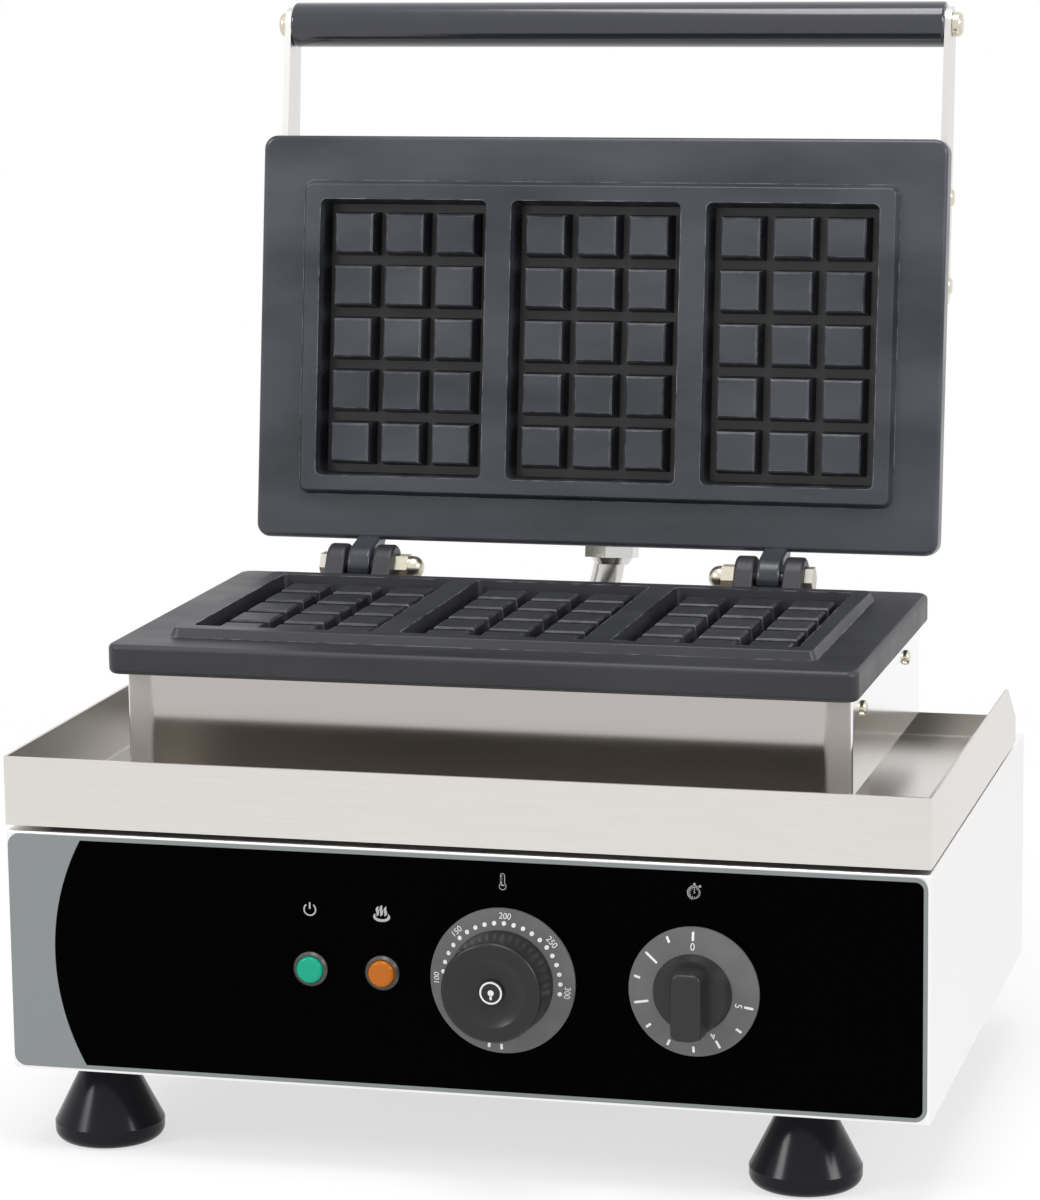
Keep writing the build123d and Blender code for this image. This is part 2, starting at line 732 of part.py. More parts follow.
# Mains cable gland: hexagon and domed nut outside, lock nut inside
with BuildPart() as cable_gland:
    with BuildSketch(REAR.offset(SEAT)):
        with Locations((-MAINS_X, MAINS_Z)):
            RegularPolygon(MAINS_HEX / 2, 6, major_radius=False)
    extrude(amount=MAINS_HEX_H)
    with BuildSketch(REAR.offset(SEAT + MAINS_HEX_H)):
        with Locations((-MAINS_X, MAINS_Z)):
            Circle(MAINS_DOME_R)
    extrude(amount=MAINS_DOME_H)
    fillet(cable_gland.faces().sort_by(Axis.Y)[-1].edges(), MAINS_DOME_R / 3)
    with BuildSketch(REAR.offset(SEAT)):
        with Locations((-MAINS_X, MAINS_Z)):
            Circle(MAINS_THREAD_R)
    extrude(amount=-MAINS_THREAD_L)
    with BuildSketch(REAR.offset(SEAT + MAINS_HEX_H + MAINS_DOME_H)):
        with Locations((-MAINS_X, MAINS_Z)):
            Circle(MAINS_BORE_R)
    extrude(amount=-(MAINS_HEX_H + MAINS_DOME_H + MAINS_THREAD_L), mode=Mode.SUBTRACT)
save(cable_gland, "cable_gland")

with BuildPart() as cable_gland_nut:
    with BuildSketch(REAR.offset(-SHEET - SEAT)):
        with Locations((-MAINS_X, MAINS_Z)):
            RegularPolygon(MAINS_HEX / 2, 6, major_radius=False)
            Circle(MAINS_THREAD_R + RUNNING_FIT, mode=Mode.SUBTRACT)
    extrude(amount=-MAINS_NUT_H)
save(cable_gland_nut, "cable_gland_nut")


def stand_outline(grow):
    """Footprint of the plinth's stand, a bar in front of a neck, grown all round."""
    with BuildSketch() as outline:
        with Locations((0, STAND_BAR_MID)):
            Rectangle(STAND_BAR_W + 2 * grow, STAND_BAR_D + 2 * grow)
        with Locations((0, STAND_MID)):
            Rectangle(STAND_NECK_W + 2 * grow, STAND_D + 2 * grow)
    return outline.sketch


# Drip tray: folded trough under the plinth, lipped round its stand, with a sloping rear end
with BuildPart() as drip_tray:
    with BuildSketch(BASE.offset(TRAY_BASE)):
        with Locations((0, TRAY_D / 2)):
            RectangleRounded(BODY_W, TRAY_D, TRAY_BEND_R)
    extrude(amount=TRAY_WALL_H)
    with BuildSketch(BASE.offset(TRAY_FLOOR)):
        with Locations((0, TRAY_D / 2)):
            Rectangle(BODY_W - 2 * SHEET, TRAY_D - 2 * SHEET)
    extrude(amount=TRAY_WALL_H, mode=Mode.SUBTRACT)
    with BuildSketch(base_side(-BODY_W / 2)):
        with BuildLine():
            Polyline(
                (TRAY_D, TRAY_BASE + TRAY_REAR_H),
                (TRAY_D - TRAY_SLOPE_D, TRAY_BASE + TRAY_WALL_H),
                (TRAY_D, TRAY_BASE + TRAY_WALL_H),
                close=True,
            )
        make_face()
    extrude(amount=BODY_W, mode=Mode.SUBTRACT)
    with BuildSketch(BASE.offset(TRAY_BASE)):
        add(stand_outline(TRAY_PLAY + SHEET))
    extrude(amount=SHEET + TRAY_LIP_H)
    with BuildSketch(BASE.offset(TRAY_BASE)):
        add(stand_outline(TRAY_PLAY))
    extrude(amount=SHEET + TRAY_LIP_H, mode=Mode.SUBTRACT)
save(drip_tray, "drip_tray")

with BuildPart() as tray_pads:
    with BuildSketch(BASE.offset(BODY_H + SEAT)):
        with Locations((0, TRAY_D / 2)):
            with GridLocations((BODY_W + PLINTH_W) / 2, TRAY_D - 2 * TRAY_PAD_INSET, 2, 2):
                Circle(TRAY_PAD_R)
    extrude(amount=TRAY_GAP - 2 * SEAT)
save(tray_pads, "tray_pads")


# Plinth: stainless box that carries the lower casting, on a flanged stand welded under it
SIDE_SCREW_SPOTS = [
    (PLINTH_FRONT + SIDE_SCREW_FRONT + i * SIDE_SCREW_PITCH, PLINTH_TOP - SIDE_SCREW_DROP)
    for i in range(2)
]
RAIL_X = PLINTH_W / 2 - SHEET - SEAT - RAIL_T / 2
RIM_SCREW_X = RAIL_X - RAIL_T / 2 - RAIL_FOOT / 2
RIM_SCREW_SPOTS = [(sx * RIM_SCREW_X, y) for sx in (-1, 1) for y, _ in SIDE_SCREW_SPOTS]
with BuildPart() as plinth:
    with BuildSketch(BASE.offset(PLINTH_BASE)):
        with Locations((0, PLINTH_MID)):
            RectangleRounded(PLINTH_W, PLINTH_D, PLINTH_BEND_R)
    extrude(amount=PLINTH_H)
    with BuildSketch(BASE.offset(PLINTH_BASE + SHEET)):
        with Locations((0, PLINTH_MID)):
            Rectangle(PLINTH_W - 2 * SHEET, PLINTH_D - 2 * SHEET)
    extrude(amount=PLINTH_H - 2 * SHEET, mode=Mode.SUBTRACT)
    with BuildSketch(BASE.offset(BODY_H + SEAT)):
        add(stand_outline(0))
    extrude(amount=STAND_H - SEAT)
    with BuildSketch(BASE.offset(BODY_H + SEAT + SHEET)):
        add(stand_outline(-SHEET))
    extrude(amount=STAND_H - SEAT - SHEET, mode=Mode.SUBTRACT)
    with BuildSketch(BASE.offset(BODY_H + SEAT)):
        add(stand_outline(-SHEET - STAND_FLANGE))
    extrude(amount=STAND_H - SEAT + SHEET, mode=Mode.SUBTRACT)
    with BuildSketch(BASE.offset(BODY_H + SEAT)):
        with Locations(*STAND_SCREWS):
            Circle(SCREW_R + HOLE_PLAY)
    extrude(amount=SHEET, mode=Mode.SUBTRACT)
    with BuildSketch(BASE.offset(PLINTH_TOP)):
        with Locations((0, PLATE_MID)):
            Rectangle(PAN_W + PAN_PLAY, PAN_D + PAN_PLAY)
        with Locations(*RIM_SCREW_SPOTS):
            Circle(SCREW_R + HOLE_PLAY)
    extrude(amount=-SHEET, mode=Mode.SUBTRACT)
    with BuildSketch(base_side(-PLINTH_W / 2)):
        with Locations(*SIDE_SCREW_SPOTS):
            Circle(SIDE_SCREW_R + HOLE_PLAY)
    extrude(amount=PLINTH_W, mode=Mode.SUBTRACT)
save(plinth, "plinth")

# Rails: angles inside the plinth that tie its sides to the lower casting
with BuildPart() as plinth_rails:
    with BuildSketch(FRONT.offset(-(PLINTH_FRONT + SHEET + RAIL_END_INSET))):
        for side in (-1, 1):
            with Locations((side * RAIL_X, RAIL_TOP - RAIL_H / 2)):
                Rectangle(RAIL_T, RAIL_H)
            with Locations((side * RIM_SCREW_X, RAIL_TOP - RAIL_T / 2)):
                Rectangle(RAIL_FOOT + SEAT, RAIL_T)
    extrude(amount=-(PLINTH_D - 2 * (SHEET + RAIL_END_INSET)))
    with BuildSketch(base_side(-PLINTH_W / 2)):
        with Locations(*SIDE_SCREW_SPOTS):
            Circle(SIDE_SCREW_R + HOLE_PLAY)
    extrude(amount=PLINTH_W, mode=Mode.SUBTRACT)
    with BuildSketch(BASE.offset(RAIL_TOP)):
        with Locations(*RIM_SCREW_SPOTS):
            Circle(SCREW_R + HOLE_PLAY)
    extrude(amount=-RAIL_T, mode=Mode.SUBTRACT)
save(plinth_rails, "plinth_rails")


def facing(x, y, z, direction):
    """Plane at a point of the base, facing the given way."""
    across = (0, 1, 0) if direction[0] else (1, 0, 0)
    return Plane(origin=(x, FACE_Y + y, FOOT_H + z), x_dir=across, z_dir=direction)


place(
    cap_screw(SHEET + RAIL_T + SCREW_END, SIDE_SCREW_R, SIDE_HEAD_R),
    [
        facing(side * (PLINTH_W / 2 + SEAT / 2), y, z, (side, 0, 0))
        for side in (-1, 1)
        for y, z in SIDE_SCREW_SPOTS
    ],
    "plinth_side_screws",
)
place(
    cap_screw(RAIL_T + SHEET + RIM_SCREW_BITE),
    [facing(x, y, RAIL_TOP - RAIL_T - SEAT / 2, (0, 0, -1)) for x, y in RIM_SCREW_SPOTS],
    "casting_screws",
)
place(
    cap_screw(2 * SHEET + SCREW_END),
    [facing(x, y, BODY_H - SHEET - SEAT / 2, (0, 0, -1)) for x, y in STAND_SCREWS],
    "plinth_base_screws",
)
place(
    cap_screw(2 * SHEET + SCREW_END),
    [facing(-x, BODY_D + SEAT / 2, z, (0, 1, 0)) for x, z in BOTTOM_SCREWS],
    "bottom_cover_screws",
)


# Waffle casting: rim, raised pad, three wells of pegs and a pan behind, shared by both halves
def waffle_peg():
    """One drafted peg with eased edges, its top level with the pegs' drop below the pad."""
    with BuildPart() as peg:
        with BuildSketch(Plane.XY.offset(PAD_H - PEG_DROP)):
            Rectangle(PEG, PEG)
        extrude(amount=-(WELL_DEPTH - PEG_DROP), taper=-DRAFT)
        chamfer(peg.faces().sort_by(Axis.Z)[-1].edges(), PEG_EDGE)
    return peg.part


def waffle_casting():
    """The casting with its rim face on the XY plane and its cooking side up."""
    peg = waffle_peg()
    with BuildPart() as casting:
        with BuildSketch(Plane.XY.offset(-PLATE_T)):
            RectangleRounded(PLATE_W, PLATE_D, PLATE_CORNER_R)
        extrude(amount=PLATE_T)
        fillet(casting.faces().filter_by(Axis.Z).edges(), PLATE_EDGE_R)
        with BuildSketch():
            RectangleRounded(PLATE_W - 2 * PAD_MARGIN, PLATE_D - 2 * PAD_MARGIN, PAD_CORNER_R)
        extrude(amount=PAD_H, taper=PAD_TAPER)
        fillet(casting.faces().sort_by(Axis.Z)[-1].edges(), PAD_EDGE_R)
        with BuildSketch(Plane.XY.offset(-PLATE_T)):
            Rectangle(PAN_W, PAN_D)
        extrude(amount=-PAN_DROP, taper=DRAFT)
        with BuildSketch(Plane.XY.offset(PAD_H)):
            with GridLocations(WELL_PITCH, 0, WELLS, 1):
                RectangleRounded(WELL_W, WELL_D, WELL_CORNER_R)
        extrude(amount=-WELL_DEPTH, taper=DRAFT, mode=Mode.SUBTRACT)
        with GridLocations(WELL_PITCH, 0, WELLS, 1):
            with GridLocations(PEG + CHANNEL, PEG + CHANNEL, PEG_COLUMNS, PEG_ROWS):
                add(peg)
        with BuildSketch(Plane.XY.offset(-PLATE_T - PAN_DROP)):
            with Locations((-CLAMP_X, 0), (CLAMP_X, 0)):
                Circle(SCREW_R + RUNNING_FIT)
        extrude(amount=CLAMP_SCREW_BITE + SEAT, mode=Mode.SUBTRACT)
    return casting.part


CASTING = waffle_casting()
HINGE_CENTRES = (HINGE_LEFT_X, HINGE_RIGHT_X)
LUG_STARTS = [
    x + offset for x in HINGE_CENTRES for offset in (-HINGE_HALF, KNUCKLE_W / 2 + LUG_GAP)
]


def hinge_eye(plane, root_z, length):
    """Eye round the hinge pin with a web to a casting's rear face, its root centred at root_z."""
    with BuildPart() as eye:
        with BuildSketch(plane):
            Circle(LUG_R)
            with Locations((-HINGE_BACK - EYE_ROOT / 2, root_z)):
                Rectangle(EYE_ROOT, PLATE_T - 2 * PLATE_EDGE_R)
            make_hull()
        extrude(amount=length)
        fillet(eye.faces().filter_by(Axis.X).edges(), LUG_EDGE_R)
    return eye.part


def pin_bore(x):
    """Running bore for one hinge pin, across its whole hinge."""
    with BuildPart() as bore:
        with BuildSketch(hinge_side(x - HINGE_HALF - LUG_GAP)):
            Circle(PIN_R + RUNNING_FIT)
        extrude(amount=2 * (HINGE_HALF + LUG_GAP))
    return bore.part


# Lower plate: the casting with two pairs of lugs, screwed down through the plinth
with BuildPart() as lower_plate:
    add(LOWER_FACE.location * CASTING)
    for start in LUG_STARTS:
        add(hinge_eye(hinge_side(start), -(HINGE_RISE + PLATE_T / 2), LUG_W))
    for centre in HINGE_CENTRES:
        add(pin_bore(centre), mode=Mode.SUBTRACT)
    with BuildSketch(BASE.offset(PLINTH_TOP + SEAT)):
        with Locations(*RIM_SCREW_SPOTS):
            Circle(SCREW_R + RUNNING_FIT)
    extrude(amount=RIM_SCREW_BITE + SEAT, mode=Mode.SUBTRACT)
save(lower_plate, "lower_plate")


# Upper plate: the casting with two knuckles, each with the heel that stops the lid open
with BuildPart() as upper_plate:
    add(UPPER_FACE.location * CASTING)
    for centre in HINGE_CENTRES:
        add(hinge_eye(lid_side(centre - KNUCKLE_W / 2), LID_RIM + PLATE_T / 2, KNUCKLE_W))
        with BuildSketch(hinge_side(centre - KNUCKLE_W / 2)):
            with Locations((-(HINGE_BACK - SEAT + PIN_R) / 2, -HEEL_MID)):
                Rectangle(HINGE_BACK - SEAT - PIN_R, HEEL_H)
        extrude(amount=KNUCKLE_W)
    for centre in HINGE_CENTRES:
        add(pin_bore(centre), mode=Mode.SUBTRACT)
    with BuildSketch(LID.offset(LID_BACK)):
        with Locations(*POST_SPOTS):
            Circle(SCREW_R + RUNNING_FIT)
    extrude(amount=-POST_BITE, mode=Mode.SUBTRACT)
save(upper_plate, "upper_plate")


# Hinge pins: one hexagon bolt and one domed nut to each hinge
def hinge_bolt(x, side):
    """Bolt through one hinge, its head on the machine's outer side."""
    with BuildPart() as bolt:
        with BuildSketch(hinge_side(x + side * (HINGE_HALF + SEAT))):
            RegularPolygon(BOLT_HEX / 2, 6, major_radius=False)
        extrude(amount=side * BOLT_HEAD_H)
        with BuildSketch(hinge_side(x + side * (HINGE_HALF + SEAT))):
            Circle(PIN_R)
        extrude(amount=-side * (2 * HINGE_HALF + BOLT_TAIL))
    return bolt.part


def hinge_nut(x, side):
    """Domed nut on the bolt's other end."""
    seat = hinge_side(x - side * (HINGE_HALF + SEAT))
    with BuildPart() as nut:
        with BuildSketch(seat):
            RegularPolygon(BOLT_HEX / 2, 6, major_radius=False)
        extrude(amount=-side * ACORN_HEX_H)
        with BuildSketch(seat):
            Circle(ACORN_R)
        extrude(amount=-side * ACORN_H)
        fillet(nut.faces().sort_by(Axis.X)[-1 if side < 0 else 0].edges(), ACORN_ROUND)
        with BuildSketch(seat):
            Circle(PIN_R + RUNNING_FIT)
        extrude(amount=-side * BOLT_TAIL, mode=Mode.SUBTRACT)
    return nut.part


with BuildPart() as hinge_bolts:
    add(hinge_bolt(HINGE_LEFT_X, -1))
    add(hinge_bolt(HINGE_RIGHT_X, 1))
save(hinge_bolts, "hinge_bolts")

with BuildPart() as hinge_nuts:
    add(hinge_nut(HINGE_LEFT_X, -1))
    add(hinge_nut(HINGE_RIGHT_X, 1))
save(hinge_nuts, "hinge_nuts")


# Heating behind a casting: tubular element, two clamp bars and a wool pad
def heater_points():
    """Corners of the element's path, both tails on one side and turned away from the casting."""
    end = HEATER_RUN_L / 2
    rows = [HEATER_PITCH * (i - (HEATER_RUNS - 1) / 2) for i in range(HEATER_RUNS)]
    level = SEAT + HEATER_R
    points = [(-end, rows[0], level + HEATER_TAIL)]
    for i, row in enumerate(rows):
        ends = (-end, end) if i % 2 == 0 else (end, -end)
        points += [(ends[0], row, level), (ends[1], row, level)]
    points.append((-end, rows[-1], level + HEATER_TAIL))
    return points


def heater():
    """The element, on the plane of the pan's underside, reaching away from the casting."""
    points = heater_points()
    radii = [HEATER_TAIL_R] + [HEATER_BEND_R] * (len(points) - 4) + [HEATER_TAIL_R]
    with BuildPart() as rod:
        with BuildLine():
            path = FilletPolyline(*points, radius=radii)
        with BuildSketch(Plane(origin=path @ 0, z_dir=path % 0)):
            Circle(HEATER_R)
        sweep()
    return rod.part


def clamps():
    """Two bars across the element's runs."""
    with BuildPart() as bars:
        with BuildSketch(Plane.XY.offset(CLAMP_LEVEL)):
            with Locations((-CLAMP_X, 0), (CLAMP_X, 0)):
                Rectangle(CLAMP_W, CLAMP_L)
                Circle(SCREW_R + HOLE_PLAY, mode=Mode.SUBTRACT)
        extrude(amount=CLAMP_T)
    return bars.part


def wool():
    """Insulating pad, pierced for the clamp screws, the element's tails and the capillary."""
    tail_y = heater_points()[0][1]
    with BuildPart() as pad:
        with BuildSketch(Plane.XY.offset(WOOL_LEVEL)):
            Rectangle(WOOL_W, WOOL_D)
            with Locations((-CLAMP_X, 0), (CLAMP_X, 0)):
                Circle(SCREW_R + HOLE_PLAY, mode=Mode.SUBTRACT)
            with Locations((-HEATER_RUN_L / 2, tail_y), (-HEATER_RUN_L / 2, -tail_y)):
                Circle(WOOL_HOLE_R, mode=Mode.SUBTRACT)
            with Locations((CAPILLARY_DROP_X, HEATER_PITCH)):
                Circle(WOOL_HOLE_R, mode=Mode.SUBTRACT)
        extrude(amount=WOOL_T)
    return pad.part


def clamp_screws():
    """Screws with wide washers that hold the wool, the bars and the element to the casting."""
    screw = cap_screw(WASHER_T + SEAT + WOOL_T + WOOL_LEVEL + CLAMP_SCREW_BITE - SEAT)
    with BuildPart() as screws:
        for x in (-CLAMP_X, CLAMP_X):
            add(Location((x, 0, WOOL_LEVEL + WOOL_T + SEAT + WASHER_T)) * screw)
            with BuildSketch(Plane.XY.offset(WOOL_LEVEL + WOOL_T + SEAT)):
                with Locations((x, 0)):
                    Circle(WASHER_R)
            extrude(amount=WASHER_T)
    return screws.part


for half, back in (("lower", LOWER_BACK), ("upper", UPPER_BACK)):
    place(heater(), [back], f"{half}_heater")
    place(clamps(), [back], f"{half}_clamps")
    place(wool(), [back], f"{half}_wool")
    place(clamp_screws(), [back], f"{half}_clamp_screws")


# Thermostat bulb and capillary, from the lower casting down to the thermostat
def bulb_point(x, y, level):
    """A point given on the plane of the lower pan's underside."""
    return LOWER_BACK.from_local_coords((x, y, level))


BULB_START = bulb_point(-BULB_L / 2, HEATER_PITCH, SEAT + BULB_R)
with BuildPart() as thermostat_bulb:
    with BuildSketch(Plane(origin=BULB_START, x_dir=(0, 1, 0), z_dir=(1, 0, 0))):
        Circle(BULB_R)
    extrude(amount=BULB_L)
save(thermostat_bulb, "thermostat_bulb")

with BuildPart() as thermostat_capillary:
    with BuildLine():
        bulb_end = bulb_point(-BULB_L / 2 - SEAT, HEATER_PITCH, SEAT + BULB_R)
        turn_down = bulb_point(CAPILLARY_DROP_X, HEATER_PITCH, SEAT + BULB_R)
        cabinet_top = (CAPILLARY_DROP_X, turn_down.Y, FOOT_H + CAPILLARY_Z)
        behind_box = (THERMOSTAT_X, turn_down.Y, FOOT_H + CONTROL_Z)
        box_back = (THERMOSTAT_X, FACE_Y + SHEET + SEAT + THERMOSTAT_BOX_D + SEAT, FOOT_H + CONTROL_Z)
        capillary_path = FilletPolyline(
            bulb_end, turn_down, cabinet_top, behind_box, box_back, radius=CAPILLARY_BEND_R
        )
    with BuildSketch(Plane(origin=capillary_path @ 0, z_dir=capillary_path % 0)):
        Circle(CAPILLARY_R)
    sweep()
save(thermostat_capillary, "thermostat_capillary")


# Lid cover: stainless pan over the heating of the upper casting, drawn on the lid's own plane
COVER_MID = (COVER_FRONT + COVER_REAR) / 2
ARM_SCREWS = [(LID_FRONT + ARM_SCREW_FRONT + i * ARM_SCREW_PITCH, ARM_LINE) for i in range(2)]
GLAND_LINE = LID_BACK + LID_GLAND_RISE


def lid_cover():
    """Open box with bent edges, holed for the arms, the posts and the conduit's gland."""
    with BuildPart() as cover:
        with BuildSketch(Plane.XY.offset(LID_BACK + SEAT)):
            with Locations((0, COVER_MID)):
                Rectangle(COVER_W, COVER_REAR - COVER_FRONT)
        extrude(amount=COVER_H)
        fillet(cover.edges().filter_by(Axis.Z), COVER_BEND_R)
        fillet(cover.faces().sort_by(Axis.Z)[-1].edges(), COVER_BEND_R)
        offset(amount=-SHEET, openings=cover.faces().sort_by(Axis.Z)[0])
        with BuildSketch(Plane.YZ.offset(-COVER_W / 2)):
            with Locations(*ARM_SCREWS):
                Circle(SCREW_R + HOLE_PLAY)
        extrude(amount=COVER_W, mode=Mode.SUBTRACT)
        with BuildSketch(Plane.XY.offset(COVER_TOP)):
            with Locations(*POST_SPOTS):
                Circle(SCREW_R + HOLE_PLAY)
        extrude(amount=-2 * SHEET, mode=Mode.SUBTRACT)
        with BuildSketch(lid_wall(CONDUIT_X)):
            Circle(GLAND_THREAD_R + HOLE_PLAY)
        extrude(amount=-2 * SHEET, mode=Mode.SUBTRACT)
    return cover.part


def lid_wall(x):
    """Plane on the cover's hinge-side wall, at the conduit gland's height, in the lid's own frame."""
    return Plane(origin=(x, COVER_REAR, GLAND_LINE), x_dir=(1, 0, 0), z_dir=(0, 1, 0))


def cover_posts():
    """Four tapped posts between the casting's back and the cover."""
    with BuildPart() as posts:
        with BuildSketch(Plane.XY.offset(LID_BACK + SEAT)):
            with Locations(*POST_SPOTS):
                RegularPolygon(POST_R, 6, major_radius=False)
                Circle(SCREW_R + RUNNING_FIT, mode=Mode.SUBTRACT)
        extrude(amount=COVER_H - SHEET - SEAT)
    return posts.part


place(lid_cover(), [LID], "upper_cover")
place(cover_posts(), [LID], "cover_posts")
COVER_FACE = LID.offset(COVER_TOP + SEAT / 2)
place(
    cap_screw(COVER_H + POST_BITE - SEAT),
    [
        Plane(origin=COVER_FACE.from_local_coords((x, y, 0)), x_dir=(1, 0, 0), z_dir=LID.z_dir)
        for x, y in POST_SPOTS
    ],
    "cover_screws",
)


# Handle: two flat arms on the cover's sides, with a grip on a tie rod between them
def handle_arm(side):
    """One flat arm, narrowing towards the grip."""
    with BuildPart() as arm:
        with BuildSketch(Plane.YZ.offset(side * (COVER_W / 2 + SEAT))):
            with Locations((GRIP_LINE, ARM_LINE)):
                Circle(ARM_TIP_W / 2)
            with Locations((ARM_END - ARM_CORNER_R, ARM_LINE)):
                with GridLocations(0, ARM_ROOT_W - 2 * ARM_CORNER_R, 1, 2):
                    Circle(ARM_CORNER_R)
            make_hull()
            with Locations(*ARM_SCREWS):
                Circle(SCREW_R + HOLE_PLAY, mode=Mode.SUBTRACT)
            with Locations((GRIP_LINE, ARM_LINE)):
                Circle(GRIP_ROD_R + HOLE_PLAY, mode=Mode.SUBTRACT)
        extrude(amount=side * ARM_T)
    return arm.part


ARM_END = ARM_SCREWS[-1][0] + ARM_ROOT_PAST
for side, side_name in ((-1, "left"), (1, "right")):
    place(handle_arm(side), [LID], f"handle_arm_{side_name}")

place(
    cap_screw(ARM_T + SHEET + SCREW_END),
    [
        Plane(
            origin=LID.from_local_coords((side * (COVER_W / 2 + SEAT + ARM_T + SEAT / 2), y, z)),
            x_dir=LID.y_dir,
            z_dir=(side, 0, 0),
        )
        for side in (-1, 1)
        for y, z in ARM_SCREWS
    ],
    "handle_arm_screws",
)


def grip_bar(radius, half_length):
    """Round bar on the grip's axis, centred between the arms."""
    with BuildPart() as bar:
        with BuildSketch(Plane.YZ):
            with Locations((GRIP_LINE, ARM_LINE)):
                Circle(radius)
        extrude(amount=half_length, both=True)
    return bar


ROD_HALF = COVER_W / 2 + SEAT + ARM_T + GRIP_ROD_BITE
with BuildPart() as grip:
    add(grip_bar(GRIP_R, COVER_W / 2).part)
    fillet(grip.edges().filter_by(GeomType.CIRCLE), GRIP_END_R)
    add(grip_bar(GRIP_ROD_R + RUNNING_FIT, COVER_W / 2).part, mode=Mode.SUBTRACT)
place(grip.part, [LID], "handle_grip")
place(grip_bar(GRIP_ROD_R, ROD_HALF).part, [LID], "handle_rod")


def rod_nuts():
    """Two domed nuts on the ends of the tie rod."""
    with BuildPart() as nuts:
        for side in (-1, 1):
            with BuildSketch(Plane.YZ.offset(side * (COVER_W / 2 + 2 * SEAT + ARM_T))):
                with Locations((GRIP_LINE, ARM_LINE)):
                    Circle(GRIP_NUT_R)
            extrude(amount=side * GRIP_NUT_H)
        fillet(nuts.faces().sort_by(Axis.X)[0].edges(), GRIP_NUT_H / 2)
        fillet(nuts.faces().sort_by(Axis.X)[-1].edges(), GRIP_NUT_H / 2)
        add(grip_bar(GRIP_ROD_R + RUNNING_FIT, ROD_HALF + SEAT).part, mode=Mode.SUBTRACT)
    return nuts.part


place(rod_nuts(), [LID], "handle_rod_nuts")


# Conduit glands: hexagon and ferrule outside a sheet, lock nut inside it
def gland():
    """Gland standing on the XY plane, its thread going down through the sheet."""
    with BuildPart() as body:
        with BuildSketch(Plane.XY.offset(SEAT)):
            RegularPolygon(GLAND_HEX / 2, 6, major_radius=False, rotation=30)
        extrude(amount=GLAND_HEX_H)
        with BuildSketch(Plane.XY.offset(SEAT + GLAND_HEX_H)):
            Circle(FERRULE_R)
        with BuildSketch(Plane.XY.offset(SEAT + GLAND_HEX_H + FERRULE_H)):
            Circle(FERRULE_NECK_R)
        loft()
        with BuildSketch(Plane.XY.offset(SEAT)):
            Circle(GLAND_THREAD_R)
        extrude(amount=-(SHEET + GLAND_INSIDE))
        with BuildSketch(Plane.XY.offset(-SHEET - GLAND_INSIDE)):
            Circle(CONDUIT_R + RUNNING_FIT)
        extrude(amount=SHEET + GLAND_INSIDE + 2 * GLAND_HEX_H + FERRULE_H, mode=Mode.SUBTRACT)
    return body.part


def gland_nut():
    """Lock nut on the gland's thread, under the sheet."""
    with BuildPart() as nut:
        with BuildSketch(Plane.XY.offset(-SHEET - SEAT)):
            RegularPolygon(GLAND_HEX / 2, 6, major_radius=False)
            Circle(GLAND_THREAD_R + RUNNING_FIT, mode=Mode.SUBTRACT)
        extrude(amount=-GLAND_NUT_H)
    return nut.part


LID_GLAND = Plane(
    origin=LID.from_local_coords((CONDUIT_X, COVER_REAR, GLAND_LINE)), x_dir=(1, 0, 0), z_dir=LID.y_dir
)
CABINET_GLAND = Plane(origin=(CABINET_GLAND_X, FACE_Y + CABINET_GLAND_Y, FOOT_H + BODY_H))
for half, seat in (("lid", LID_GLAND), ("cabinet", CABINET_GLAND)):
    place(gland(), [seat], f"{half}_gland")
    place(gland_nut(), [seat], f"{half}_gland_nut")


# Conduit: one flexible steel tube, down from the lid and across to the cabinet's left
def conduit_points():
    """Corners of the conduit's path, from inside the lid's gland to inside the cabinet's."""
    slant = CONDUIT_DROP + CONDUIT_SLANT
    return [
        LID_GLAND.from_local_coords((0, 0, -GLAND_INSIDE)),
        LID_GLAND.from_local_coords((0, 0, CONDUIT_DROP)),
        LID_GLAND.from_local_coords((-CONDUIT_SLANT, 0, slant)),
        CABINET_GLAND.from_local_coords((CONDUIT_SLANT, 0, slant)),
        CABINET_GLAND.from_local_coords((0, 0, CONDUIT_DROP)),
        CABINET_GLAND.from_local_coords((0, 0, -GLAND_INSIDE)),
    ]


def bend_radii(points):
    """Largest radius for each corner that leaves a straight between neighbouring bends."""
    radii = []
    for before, corner, after in zip(points, points[1:], points[2:]):
        one, two = corner - before, after - corner
        turn = math.radians(one.get_angle(two))
        radii.append(BEND_SHARE * min(one.length, two.length) / math.tan(turn / 2))
    return radii


CONDUIT_POINTS = conduit_points()
CONDUIT_RADII = bend_radii(CONDUIT_POINTS)
with BuildPart() as conduit:
    with BuildLine():
        conduit_path = FilletPolyline(*CONDUIT_POINTS, radius=CONDUIT_RADII)
    with BuildSketch(Plane(origin=conduit_path @ 0, z_dir=conduit_path % 0)):
        Circle(CONDUIT_R)
    sweep()
save(conduit, "conduit")
print("conduit radii", [round(r, 1) for r in CONDUIT_RADII], "length", round(conduit_path.length, 1))
print("face_y", round(FACE_Y, 3), "hinge_y", round(HINGE_Y, 3), "hinge_z", round(HINGE_Z, 3))
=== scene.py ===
"""Countertop waffle maker with its lid open: finishes, printed marks and hose on its frame."""

import json
import math

import bpy
from mathutils import Matrix, Vector


